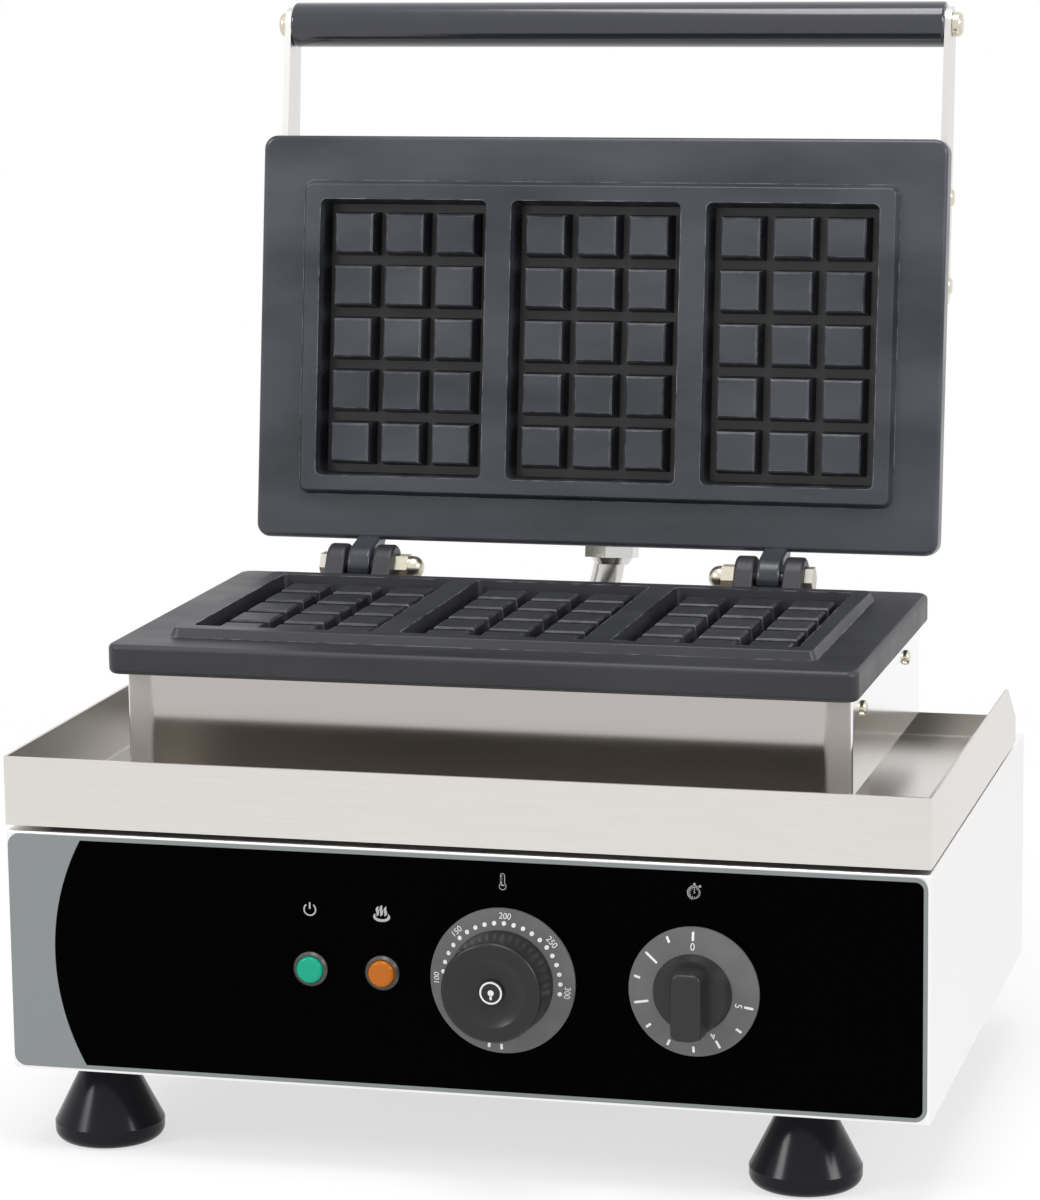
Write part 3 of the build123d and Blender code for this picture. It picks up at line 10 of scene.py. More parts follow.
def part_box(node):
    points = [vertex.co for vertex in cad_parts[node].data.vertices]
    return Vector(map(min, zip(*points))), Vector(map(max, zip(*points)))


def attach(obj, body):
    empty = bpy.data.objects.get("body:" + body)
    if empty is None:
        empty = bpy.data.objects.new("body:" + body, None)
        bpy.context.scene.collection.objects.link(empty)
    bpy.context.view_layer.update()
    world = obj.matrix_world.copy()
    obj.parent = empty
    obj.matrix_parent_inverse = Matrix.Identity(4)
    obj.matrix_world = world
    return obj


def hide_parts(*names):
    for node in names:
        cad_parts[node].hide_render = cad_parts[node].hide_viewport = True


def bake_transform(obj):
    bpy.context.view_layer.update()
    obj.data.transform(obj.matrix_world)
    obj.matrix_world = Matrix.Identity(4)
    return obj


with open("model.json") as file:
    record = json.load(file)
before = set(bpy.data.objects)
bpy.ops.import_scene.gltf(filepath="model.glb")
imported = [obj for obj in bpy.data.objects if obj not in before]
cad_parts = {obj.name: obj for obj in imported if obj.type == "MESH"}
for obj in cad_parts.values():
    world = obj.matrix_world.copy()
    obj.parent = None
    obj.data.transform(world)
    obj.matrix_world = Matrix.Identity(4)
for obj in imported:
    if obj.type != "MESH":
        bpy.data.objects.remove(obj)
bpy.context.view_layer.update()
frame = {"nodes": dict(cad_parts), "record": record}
MM = 0.001


# Camera: a long lens above the right front corner, as in the photograph
# Its place is measured from the middle of the cabinet's face, at the level of the cabinet's
# lower edge. It turns left, looks down and leans by the three angles.
face_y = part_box("base_housing")[0][1]
cabinet_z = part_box("base_housing")[0][2]
camera_turn = math.radians(14.53)
camera_drop = math.radians(10.29)
camera_roll = math.radians(-0.69)
camera_place = (0.3852, face_y - 1.3904, cabinet_z + 0.4419)
forward = Vector(
    (
        -math.sin(camera_turn) * math.cos(camera_drop),
        math.cos(camera_turn) * math.cos(camera_drop),
        -math.sin(camera_drop),
    )
)
level_right = Vector((math.cos(camera_turn), math.sin(camera_turn), 0))
level_up = level_right.cross(forward)
right = math.cos(camera_roll) * level_right + math.sin(camera_roll) * level_up
up = -math.sin(camera_roll) * level_right + math.cos(camera_roll) * level_up
camera = bpy.data.objects.new("camera", bpy.data.cameras.new("camera"))
camera.data.sensor_fit = "VERTICAL"
camera.data.sensor_height = 36
camera.data.lens = 125.5
camera.data.clip_end = 20
camera.matrix_world = Matrix(
    (
        (right.x, up.x, -forward.x, camera_place[0]),
        (right.y, up.y, -forward.y, camera_place[1]),
        (right.z, up.z, -forward.z, camera_place[2]),
        (0, 0, 0, 1),
    )
)
bpy.context.scene.collection.objects.link(camera)
bpy.context.scene.camera = camera
bpy.context.scene.view_settings.view_transform = "Standard"


# Floor and light: white board under a white studio tent, with three soft boxes
# The board keeps the machine's soft shadow and turns pure white away from it.
def linear(code):
    """Linear colour of an sRGB hex code."""
    parts = [int(code[i : i + 2], 16) / 255 for i in (1, 3, 5)]
    return tuple(c / 12.92 if c <= 0.04045 else ((c + 0.055) / 1.055) ** 2.4 for c in parts) + (1,)


def add_node(owner, kind, values=None, **settings):
    """Add a node to a material or the world; a value that is a socket is linked."""
    tree = owner.node_tree
    made = tree.nodes.new("ShaderNode" + kind)
    for name, value in settings.items():
        setattr(made, name, value)
    for name, value in (values or {}).items():
        if isinstance(value, bpy.types.NodeSocket):
            tree.links.new(value, made.inputs[name])
        else:
            made.inputs[name].default_value = value
    return made


def new_material(name):
    """An empty node material."""
    material = bpy.data.materials.new(name)
    material.use_nodes = True
    material.node_tree.nodes.clear()
    return material


def finish(material, shader):
    """Link a shader to the material's output and return the material."""
    add_node(material, "OutputMaterial", {"Surface": shader.outputs[0]})
    return material


def soft_box(name, place, target, size, power):
    """A square area lamp facing a point."""
    lamp = bpy.data.objects.new(name, bpy.data.lights.new(name, "AREA"))
    lamp.data.size = size
    lamp.data.energy = power
    lamp.location = place
    lamp.rotation_euler = (Vector(target) - Vector(place)).to_track_quat("-Z", "Y").to_euler()
    bpy.context.scene.collection.objects.link(lamp)


def white_board():
    """Matt painted board, whose own white takes over from 0.15 to 0.8 m out from the machine."""
    material = new_material("matt white board")
    place = add_node(material, "TexCoord").outputs["Object"]
    reach = add_node(material, "VectorMath", {0: place}, operation="LENGTH").outputs["Value"]
    near = {"Value": reach, "From Min": 0.15, "From Max": 0.8, "To Min": 0.64, "To Max": 1.0}
    share = add_node(material, "MapRange", near).outputs[0]
    path = add_node(material, "LightPath")
    rays = {0: path.outputs["Is Camera Ray"], 1: path.outputs["Is Glossy Ray"]}
    seen = add_node(material, "Math", rays, operation="MAXIMUM").outputs[0]
    share = add_node(material, "Math", {0: share, 1: seen}, operation="MULTIPLY").outputs[0]
    paint = add_node(material, "BsdfDiffuse", {"Color": linear("#f4f4f4")})
    glow = add_node(material, "Emission", {"Color": linear("#ffffff")})
    mix = add_node(material, "MixShader", {0: share, 1: paint.outputs[0], 2: glow.outputs[0]})
    return finish(material, mix)


bpy.ops.object.select_all(action="DESELECT")
bpy.ops.mesh.primitive_plane_add(size=16)
floor = bpy.context.object
floor.name = "floor"
floor.data.materials.append(white_board())

world = bpy.data.worlds.new("studio tent")
world.use_nodes = True
bpy.context.scene.world = world
tent = world.node_tree.nodes["Background"]
tent_path = add_node(world, "LightPath")
tent_rays = {0: tent_path.outputs["Is Camera Ray"], 1: tent_path.outputs["Is Glossy Ray"]}
tent_seen = add_node(world, "Math", tent_rays, operation="MAXIMUM")
tent_values = {"Value": tent_seen.outputs[0], "To Min": 0.6, "To Max": 1.0}
tent_level = add_node(world, "MapRange", tent_values)
world.node_tree.links.new(tent_level.outputs[0], tent.inputs["Strength"])
tent.inputs["Color"].default_value = linear("#ffffff")
soft_box("left soft box", (-1.4, -1.3, 1.3), (0, 0, 0.2), size=0.6, power=14)
soft_box("right soft box", (1.7, -0.5, 1.0), (0, 0, 0.15), size=0.6, power=12)
soft_box("top soft box", (0.1, -0.35, 2.0), (0, 0, 0.2), size=1.0, power=18)


# Control cabinet: folded 1.2 mm stainless sheet on a zinc-plated bottom cover
# The sheet has a fine rolled grain along its length, which only just shows, and an uneven gloss.
# The cover is held from below by small plated screws.
def depth_in_box(material, low, high):
    """Distance in from the nearest side of a box, below zero outside it."""
    centre = (Vector(low) + Vector(high)) / 2
    half = (Vector(high) - Vector(low)) / 2
    place = add_node(material, "TexCoord").outputs["Object"]
    offset = add_node(material, "VectorMath", {0: place, 1: centre}, operation="SUBTRACT")
    reach = add_node(material, "VectorMath", {0: offset.outputs[0]}, operation="ABSOLUTE")
    spare = add_node(material, "VectorMath", {0: half, 1: reach.outputs[0]}, operation="SUBTRACT")
    axes = add_node(material, "SeparateXYZ", {"Vector": spare.outputs[0]}).outputs
    least = add_node(material, "Math", {0: axes["X"], 1: axes["Y"]}, operation="MINIMUM").outputs[0]
    return add_node(material, "Math", {0: least, 1: axes["Z"]}, operation="MINIMUM").outputs[0]


def stainless(name, colour, dark, roughness, painted_shade_box=None, seams=None):
    """Stainless sheet: a clean grey metal, streaked along X by its rolling.

    The shade box gives a box and the darker tone painted in it as shade. seams is a distance out
    from the middle, and the roughness of the sheet in that box past it. The real grain lines are
    about 0.05 mm apart. They are drawn 0.45 mm apart and 33 mm long, so that they show.
    """
    material = new_material(name)
    place = add_node(material, "TexCoord").outputs["Object"]
    rolled = add_node(material, "Mapping", {"Vector": place, "Scale": (30, 2200, 2200)})
    lines = {"Vector": rolled.outputs[0], "Scale": 1, "Detail": 3}
    streak = add_node(material, "TexNoise", lines).outputs["Fac"]
    patches = {"Vector": place, "Scale": 9, "Detail": 2}
    cloud = add_node(material, "TexNoise", patches).outputs["Fac"]
    spread = {"Value": streak, "From Min": 0.3, "From Max": 0.7}
    tone = add_node(material, "MapRange", spread).outputs[0]
    shades = {"Factor": tone, "A": linear(dark), "B": linear(colour)}
    tint = add_node(material, "Mix", shades, data_type="RGBA").outputs["Result"]
    # Painted shade: inside the given box the sheet takes a darker tone.
    if painted_shade_box:
        low, high, shade_tone = painted_shade_box
        depth = {"Value": depth_in_box(material, low, high), "From Max": 0.3 * MM}
        inside = add_node(material, "MapRange", depth).outputs[0]
        shading = {"Factor": inside, "A": tint, "B": linear(shade_tone)}
        tint = add_node(material, "Mix", shading, data_type="RGBA").outputs["Result"]
    gloss = {"Value": cloud, "To Min": roughness - 0.04, "To Max": roughness + 0.04}
    gloss = add_node(material, "MapRange", gloss).outputs[0]
    if seams:
        out, dull = seams
        side = add_node(material, "SeparateXYZ", {"Vector": place}).outputs["X"]
        side = add_node(material, "Math", {0: side}, operation="ABSOLUTE").outputs[0]
        strip = {"Value": side, "From Min": out - 1 * MM, "From Max": out + 1 * MM}
        strip = {0: add_node(material, "MapRange", strip).outputs[0], 1: inside}
        strip = add_node(material, "Math", strip, operation="MULTIPLY").outputs[0]
        dressed = {"Factor": strip, "A": gloss, "B": dull}
        gloss = add_node(material, "Mix", dressed).outputs["Result"]
    relief = {"Height": streak, "Strength": 0.02, "Distance": 0.05 * MM}
    sheet = {
        "Base Color": tint,
        "Metallic": 1.0,
        "Roughness": gloss,
        "Normal": add_node(material, "Bump", relief).outputs[0],
    }
    return finish(material, add_node(material, "BsdfPrincipled", sheet))


def dress(material, *nodes):
    """Give CAD nodes one material."""
    for name in nodes:
        mesh = frame["nodes"][name].data
        mesh.materials.clear()
        mesh.materials.append(material)


def bright_metal(name, colour, roughness, smear=400):
    """Plated or turned metal, a plain bright surface with faint smears, so many to a metre."""
    material = new_material(name)
    place = add_node(material, "TexCoord").outputs["Object"]
    cloud = {"Vector": place, "Scale": smear, "Detail": 3}
    marks = add_node(material, "TexNoise", cloud).outputs["Fac"]
    gloss = {"Value": marks, "To Min": roughness - 0.05, "To Max": roughness + 0.08}
    metal = {
        "Base Color": linear(colour),
        "Metallic": 1.0,
        "Roughness": add_node(material, "MapRange", gloss).outputs[0],
    }
    return finish(material, add_node(material, "BsdfPrincipled", metal))


# Zinc plate is a dull grey with cloudy patches 11 mm across, nickel plate is warm and bright.
zinc = bright_metal("zinc-plated sheet", "#b9b9b4", 0.38, smear=90)
nickel = bright_metal("nickel plate", "#d6cfbd", 0.2)
dress(stainless("rolled stainless cabinet sheet", "#f5f4f4", "#f1f0f0", 0.4), "base_housing")
dress(zinc, "bottom_cover")
dress(nickel, "bottom_cover_screws")


# Feet: four cones of gloss black moulded rubber
# Each hangs on one nickel-plated screw that goes up through the bottom cover.
def moulding(name, colour, roughness, texture=1500, relief=0.06, coat=0.0, specular=0.5):
    """Moulded plastic or rubber, whose gloss is uneven from handling in patches 17 mm across.

    texture is the mould's fine grain, so many to a metre. The real one is about 0.1 mm, and
    1500 draws it at 0.7 mm, so that it shows.
    """
    material = new_material(name)
    place = add_node(material, "TexCoord").outputs["Object"]
    grains = {"Vector": place, "Scale": texture, "Detail": 3}
    grain = add_node(material, "TexNoise", grains).outputs["Fac"]
    handling = {"Vector": place, "Scale": 60, "Detail": 3}
    wear = add_node(material, "TexNoise", handling).outputs["Fac"]
    gloss = {"Value": wear, "To Min": roughness - 0.04, "To Max": roughness + 0.06}
    bump = {"Height": grain, "Strength": relief, "Distance": 0.1 * MM}
    body = {
        "Base Color": linear(colour),
        "Roughness": add_node(material, "MapRange", gloss).outputs[0],
        "Normal": add_node(material, "Bump", bump).outputs[0],
        "Coat Weight": coat,
        "Specular IOR Level": specular,
    }
    return finish(material, add_node(material, "BsdfPrincipled", body))


rubber = moulding("gloss black foot rubber", "#0c0c15", 0.18, relief=0.02, specular=0.22)
dress(rubber, "foot_front_left", "foot_front_right", "foot_rear_left", "foot_rear_right")
dress(nickel, "foot_screws")


# Front overlay: one printed polyester film over the whole face
# A grey ground with a black field, which an arc bounds on the left, and plain symbols in pale
# ink. The printed side is matt and reflects very little.
overlay_low, overlay_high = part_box("front_overlay")
overlay_mid_z = (overlay_low[2] + overlay_high[2]) / 2
field_edge = 1.5 * MM
field_corner = 3.0 * MM
arc_r = 87.5 * MM
arc_left = -151.9 * MM
arc_x = arc_left + arc_r


def printed_film():
    """Matt printed film; its black is where both the field's edge and its arc enclose a point."""
    material = new_material("printed polyester film")
    place = add_node(material, "TexCoord").outputs["Object"]
    half_x = (overlay_high[0] - overlay_low[0]) / 2 - field_edge - field_corner
    half_z = (overlay_high[2] - overlay_low[2]) / 2 - field_edge - field_corner
    field_steps = (
        ("SUBTRACT", (0, 0, overlay_mid_z)),
        ("ABSOLUTE", (0, 0, 0)),
        ("SUBTRACT", (half_x, 0, half_z)),
        ("MAXIMUM", (0, 0, 0)),
        ("MULTIPLY", (1, 0, 1)),
    )
    arc_steps = (
        ("SUBTRACT", (arc_x, 0, overlay_mid_z)),
        ("MINIMUM", (0, 1, 1)),
        ("MULTIPLY", (1, 0, 1)),
    )
    black = 1.0
    for steps, reach in ((field_steps, field_corner), (arc_steps, arc_r)):
        offset = place
        for operation, value in steps:
            step = {0: offset, 1: value}
            offset = add_node(material, "VectorMath", step, operation=operation).outputs[0]
        away = add_node(material, "VectorMath", {0: offset}, operation="LENGTH").outputs["Value"]
        within = add_node(material, "Math", {0: away, 1: reach}, operation="LESS_THAN").outputs[0]
        both = {0: within, 1: black}
        black = add_node(material, "Math", both, operation="MULTIPLY").outputs[0]
    inks = {"Factor": black, "A": linear("#878b8c"), "B": linear("#000000")}
    grain = {"Vector": place, "Scale": 3000, "Detail": 2}
    haze = {"Height": add_node(material, "TexNoise", grain).outputs["Fac"], "Strength": 0.05}
    film = {
        "Base Color": add_node(material, "Mix", inks, data_type="RGBA").outputs["Result"],
        "Roughness": 0.5,
        "Specular IOR Level": 0.015,
        "Normal": add_node(material, "Bump", haze | {"Distance": 0.05 * MM}).outputs[0],
    }
    return finish(material, add_node(material, "BsdfPrincipled", film))


def printed_ink(name, colour, thin):
    """Screen-printed ink, matt and a little uneven in density, from its full to its thin colour.

    The screen's dots are about 0.1 mm apart. They are drawn 0.4 mm apart, so that they show.
    """
    material = new_material(name)
    place = add_node(material, "TexCoord").outputs["Object"]
    dots = {"Vector": place, "Scale": 2500, "Detail": 2}
    density = add_node(material, "TexNoise", dots).outputs["Fac"]
    inks = {"Factor": density, "A": linear(thin), "B": linear(colour)}
    spread = {"Value": density, "To Min": 0.45, "To Max": 0.6}
    ink = {
        "Base Color": add_node(material, "Mix", inks, data_type="RGBA").outputs["Result"],
        "Roughness": add_node(material, "MapRange", spread).outputs[0],
    }
    return finish(material, add_node(material, "BsdfPrincipled", ink))


def print_text(words, size, place, turn=0.0):
    """Flat printed characters as a mesh, centred on a point and turned in the front's plane."""
    bpy.ops.object.select_all(action="DESELECT")
    bpy.ops.object.text_add(location=place, rotation=(math.pi / 2, -turn, 0))
    text = bpy.context.object
    text.data.body = words
    text.data.size = size
    text.data.align_x = "CENTER"
    text.data.align_y = "CENTER"
    bpy.ops.object.convert(target="MESH")
    return bpy.context.object


def join_marks(marks, name, material):
    """Join printed marks into one mesh at the origin and give it its ink."""
    bpy.ops.object.select_all(action="DESELECT")
    for mark in marks:
        mark.select_set(True)
    bpy.context.view_layer.objects.active = marks[0]
    bpy.ops.object.join()
    joined = bpy.context.object
    bpy.ops.object.transform_apply(location=True, rotation=True, scale=True)
    joined.name = name
    joined.data.materials.clear()
    joined.data.materials.append(material)
    return joined


dress(printed_film(), "front_overlay")
panel_ink = printed_ink("pale grey panel ink", "#b4b4b4", "#a2a2a2")
ink_y = overlay_low[1] - 0.03 * MM
symbol_size = 6 * MM
above_lamp = 21.5 * MM
above_knob = 35.5 * MM
control_z = (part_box("power_lamp_lens")[0][2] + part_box("power_lamp_lens")[1][2]) / 2
control_x = {}
panel_marks = []
for node, glyph, rise in (
    ("power_lamp_lens", "⏻", above_lamp),
    ("heat_lamp_lens", "♨", above_lamp),
    ("thermostat_knob", "🌡", above_knob),
    ("timer_knob", "⏱", above_knob),
):
    low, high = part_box(node)
    control_x[node] = (low[0] + high[0]) / 2
    place = (control_x[node], ink_y, control_z + rise)
    panel_marks.append(print_text(glyph, symbol_size, place))
panel_symbols = join_marks(panel_marks, "panel_symbols", panel_ink)
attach(panel_symbols, "base")


# Signal lamps: domed acrylic lenses in dark moulded bezels
# Green for power and amber for heat, unlit, each clipped through the face with its body behind.
# The lenses are smooth and glossy, the bezels a little less so.
dress(moulding("green acrylic lens", "#009f7f", 0.12, relief=0.0, specular=0.3), "power_lamp_lens")
dress(moulding("amber acrylic lens", "#b56200", 0.12, relief=0.0, specular=0.3), "heat_lamp_lens")
dress(moulding("dark bezel moulding", "#4a4742", 0.28), "power_lamp_bezel", "heat_lamp_bezel")
dress(moulding("black lamp body", "#1c1c1c", 0.5), "power_lamp_body", "heat_lamp_body")


# Thermostat knob: satin black moulding with a grey dial skirt
# The skirt carries an arc of printed dots and plain numbers, the cap in the dish a printed ring.
# All of it is pushed on a steel shaft and turns with it.
def knob_moulding(name, node, grip_r, grip_colour, skirt_colour):
    """Satin moulding, smeared by hands, whose skirt past the grip's radius is a lighter grey.

    The mould's grain is about 0.1 mm and is drawn at 0.55 mm, so that it shows.
    """
    material = new_material(name)
    low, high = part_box(node)
    axis = Vector(((low[0] + high[0]) / 2, 0, (low[2] + high[2]) / 2))
    place = add_node(material, "TexCoord").outputs["Object"]
    offset = add_node(material, "VectorMath", {0: place, 1: axis}, operation="SUBTRACT").outputs[0]
    flat = {0: offset, 1: (1, 0, 1)}
    spoke = add_node(material, "VectorMath", flat, operation="MULTIPLY").outputs[0]
    reach = add_node(material, "VectorMath", {0: spoke}, operation="LENGTH").outputs["Value"]
    ramp = {"Value": reach, "From Min": grip_r, "From Max": grip_r + 0.3 * MM}
    smear = {"Vector": place, "Scale": 70, "Detail": 4}
    patch = add_node(material, "TexNoise", smear).outputs["Fac"]
    skirts = {"Factor": patch, "A": linear(skirt_colour), "B": linear("#6e6e6e")}
    skirt = add_node(material, "Mix", skirts, data_type="RGBA").outputs["Result"]
    shades = {
        "Factor": add_node(material, "MapRange", ramp).outputs[0],
        "A": linear(grip_colour),
        "B": skirt,
    }
    gloss = {"Value": patch, "To Min": 0.26, "To Max": 0.4}
    grain = add_node(material, "TexNoise", {"Vector": place, "Scale": 1800, "Detail": 3})
    bump = {"Height": grain.outputs["Fac"], "Strength": 0.08, "Distance": 0.1 * MM}
    body = {
        "Base Color": add_node(material, "Mix", shades, data_type="RGBA").outputs["Result"],
        "Roughness": add_node(material, "MapRange", gloss).outputs[0],
        "Normal": add_node(material, "Bump", bump).outputs[0],
        "Specular IOR Level": 0.32,
    }
    return finish(material, add_node(material, "BsdfPrincipled", body))


def dial_spot(node, degrees, radius):
    """Point in front of a dial, at an angle anticlockwise from its right, and at a radius."""
    angle = math.radians(degrees)
    x = control_x[node] + radius * math.cos(angle)
    return (x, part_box(node)[0][1] - 5 * MM, control_z + radius * math.sin(angle))


def print_disc(place, radius):
    """A flat round printed dot."""
    bpy.ops.object.select_all(action="DESELECT")
    bpy.ops.mesh.primitive_circle_add(
        vertices=20, radius=radius, fill_type="NGON", location=place, rotation=(math.pi / 2, 0, 0)
    )
    return bpy.context.object


def print_bar(place, length, width, turn):
    """A flat printed line along its turn from upright, with its corners cut."""
    bpy.ops.object.select_all(action="DESELECT")
    bpy.ops.mesh.primitive_plane_add(size=1, location=place, rotation=(math.pi / 2, -turn, 0))
    bar = bpy.context.object
    bar.scale = (width, length, 1)
    bpy.ops.object.mode_set(mode="EDIT")
    bpy.ops.mesh.select_all(action="SELECT")
    bpy.ops.mesh.bevel(offset=0.15, affect="VERTICES", segments=2)
    bpy.ops.object.mode_set(mode="OBJECT")
    return bar


def lay_on(marks, node):
    """Press printed marks back along the depth onto a knob, just proud of its surface."""
    press = marks.modifiers.new("press", "SHRINKWRAP")
    press.target = frame["nodes"][node]
    press.wrap_method = "PROJECT"
    press.wrap_mode = "ABOVE_SURFACE"
    press.use_project_y = True
    press.use_positive_direction = True
    press.use_negative_direction = False
    press.offset = 0.04 * MM
    bpy.context.view_layer.objects.active = marks
    bpy.ops.object.modifier_apply(modifier=press.name)


dial_ink = printed_ink("white dial ink", "#ececec", "#d6d6d6")
dot_r = 0.8 * MM
dot_ring_r = 21.5 * MM
dot_count = 20
first_dot = 172.8
last_dot = -8.6
dot_step = (first_dot - last_dot) / (dot_count - 1)
number_ring_r = 23.9 * MM
number_size = 3.0 * MM
number_step = 46.7
bar_length = 2.2 * MM
bar_width = 1.0 * MM
thermostat_marks = []
for i in range(dot_count):
    place = dial_spot("thermostat_knob", first_dot - i * dot_step, dot_ring_r)
    thermostat_marks.append(print_disc(place, dot_r))
for i, number in enumerate((100, 150, 200, 250, 300)):
    degrees = 180 - i * number_step
    turn = math.radians(degrees - 90)
    place = dial_spot("thermostat_knob", degrees, number_ring_r)
    thermostat_marks.append(print_text(str(number), number_size, place, turn))
for degrees in (-102, -91):
    turn = math.radians(degrees - 90)
    place = dial_spot("thermostat_knob", degrees, number_ring_r)
    thermostat_marks.append(print_bar(place, bar_length, bar_width, turn))
thermostat_scale = join_marks(thermostat_marks, "thermostat_scale", dial_ink)
lay_on(thermostat_scale, "thermostat_knob")
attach(thermostat_scale, "thermostat_dial")
thermostat_grip_r = 18.95 * MM
thermostat_grey = knob_moulding(
    "satin thermostat moulding", "thermostat_knob", thermostat_grip_r, "#212122", "#4c4c4c"
)
dress(thermostat_grey, "thermostat_knob")
dress(moulding("satin cap moulding", "#232324", 0.36, specular=0.32), "thermostat_cap")

ring_r = 4.1 * MM
ring_width = 0.65 * MM
cap_dot_r = 1.1 * MM
stem_length = 1.6 * MM
stem_width = 0.8 * MM
stem_drop = 1.7 * MM
cap_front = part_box("thermostat_cap")[0][1] - 0.05 * MM
cap_place = (control_x["thermostat_knob"], cap_front, control_z)
stem_place = (control_x["thermostat_knob"], cap_front, control_z - stem_drop)
bpy.ops.object.select_all(action="DESELECT")
bpy.ops.mesh.primitive_circle_add(
    vertices=48, radius=ring_r, fill_type="NGON", location=cap_place, rotation=(math.pi / 2, 0, 0)
)
cap_circle = bpy.context.object
bpy.ops.object.mode_set(mode="EDIT")
bpy.ops.mesh.select_all(action="SELECT")
bpy.ops.mesh.inset(thickness=ring_width)
bpy.ops.mesh.delete(type="FACE")
bpy.ops.object.mode_set(mode="OBJECT")
cap_dot = print_disc(cap_place, cap_dot_r)
cap_stem = print_bar(stem_place, stem_length, stem_width, 0)
cap_ring = join_marks([cap_circle, cap_dot, cap_stem], "cap_ring", dial_ink)
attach(cap_ring, "thermostat_dial")


# Timer knob: the same moulding with a bar grip
# Its skirt has eleven printed lines from the zero at the top, and numbers at three of them.
numerals = {0: "0", 8: "4", 10: "5"}
numeral_ring_r = 16.6 * MM
numeral_size = 3.6 * MM
line_step = 25.7
line_end_r = 21.9 * MM
line_width = 0.9 * MM
short_line = 2.4 * MM
numbered_line = 3.2 * MM
long_line = 5.6 * MM
timer_marks = []
for i in range(11):
    degrees = 90 + i * line_step
    turn = math.radians(degrees - 90)
    length = long_line if i in (2, 4) else numbered_line if i in numerals else short_line
    place = dial_spot("timer_knob", degrees, line_end_r - length / 2)
    timer_marks.append(print_bar(place, length, line_width, turn))
    if i in numerals:
        place = dial_spot("timer_knob", degrees, numeral_ring_r)
        timer_marks.append(print_text(numerals[i], numeral_size, place, turn))
timer_scale = join_marks(timer_marks, "timer_scale", dial_ink)
lay_on(timer_scale, "timer_knob")
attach(timer_scale, "timer_dial")
timer_grip_r = 14.1 * MM
# The timer's grip and skirt greys are lighter than the thermostat's, though both are one moulding:
# painted sheen.
timer_grey = knob_moulding(
    "satin timer moulding", "timer_knob", timer_grip_r, "#282829", "#545454"
)
dress(timer_grey, "timer_knob")


# Controls behind the face: switch bodies, steel shafts, terminal block and mains gland
# Plain satin mouldings with bright turned shafts, and a drawn copper capillary, reddish and
# bright, from the thermostat to its bulb under the castings.
turned = bright_metal("turned bright steel", "#c9c9c7", 0.25)
copper = bright_metal("drawn copper line", "#c07a52", 0.3)
dress(moulding("switch body moulding", "#a8a49a", 0.5), "thermostat_body", "timer_body")
dress(moulding("natural terminal moulding", "#cfc9ba", 0.5), "terminal_block")
dress(moulding("black nylon gland", "#1c1c1c", 0.45), "cable_gland", "cable_gland_nut")
dress(turned, "thermostat_shaft", "timer_shaft")
dress(copper, "thermostat_bulb", "thermostat_capillary")


# Drip tray: bright folded stainless trough on four rubber pads
# The inner walls are painted a darker, browner grey than the outside, as painted shade. The
# shaded box is the room inside the trough, from half a sheet in from its walls.
half_sheet = 0.6 * MM
above_floor = 1.6 * MM
past_rim = 5 * MM
tray_low, tray_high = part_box("drip_tray")
# The box and tone of the painted shade on the trough's inner walls.
tray_painted_shade = (
    (tray_low[0] + half_sheet, tray_low[1] + half_sheet, tray_low[2] + above_floor),
    (tray_high[0] - half_sheet, tray_high[1] - half_sheet, tray_high[2] + past_rim),
    "#bebab4",
)
tray_sheet = stainless(
    "bright stainless tray sheet", "#dfdcd8", "#dbd8d4", 0.3, painted_shade_box=tray_painted_shade
)
dress(tray_sheet, "drip_tray")
dress(moulding("black rubber pad", "#1a1a1a", 0.6), "tray_pads")


# Plinth: polished stainless box that carries the lower casting
# Its front is painted greyer than its ends, as painted shade, and mirrors the tray as a soft band,
# which ends in a duller strip at each corner, where the folded seam was dressed.
end_skin = 0.5 * MM
past_front = 9 * MM
seam_strip = 9.5 * MM
seam_roughness = 0.5
plinth_low, plinth_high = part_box("plinth")
# Painted shade: the sheet is a darker grey everywhere but on its two ends.
plinth_painted_shade = (
    (plinth_low[0] + end_skin, plinth_low[1] - past_front, plinth_low[2] - past_front),
    (plinth_high[0] - end_skin, plinth_high[1] + past_front, plinth_high[2] + past_front),
    "#b9b4b1",
)
plinth_sheet = stainless(
    "polished stainless plinth sheet",
    "#f6f6f6",
    "#f3f3f3",
    0.13,
    painted_shade_box=plinth_painted_shade,
    seams=(plinth_high[0] - seam_strip, seam_roughness),
)
dress(plinth_sheet, "plinth")
dress(zinc, "plinth_rails")
dress(nickel, "plinth_side_screws", "plinth_base_screws", "casting_screws")


# Waffle castings: sand-cast plates under a baked blue-black enamel
# The coat is glossy at a low angle and darker with depth in the wells, as painted shade. Its edges
# are pale, partly from wear and partly as a painted highlight. Both castings meet on the hinge
# pin's line, and the upper one stands open.
hinge = frame["record"]["behaviour"]["joints"][0]
hinge_place = Vector(hinge["pos_m"])
lid_turn = math.radians(hinge["range_deg"][1])
casting_w = 278.8 * MM
casting_d = 162.4 * MM
pad_margin = 18.0 * MM
well_margin = 4 * MM
well_shade_from = 2.7 * MM
well_shade_to = 11 * MM
edge_radius = 0.7 * MM
lower_mid_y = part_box("lower_plate")[0][1] + casting_d / 2
pad_above_pin = 2.3 * MM
lid_pad_above_pin = 2.8 * MM
lid_edge_from_pin = 10.6 * MM
lid_mid_y = -(lid_edge_from_pin + casting_d / 2)


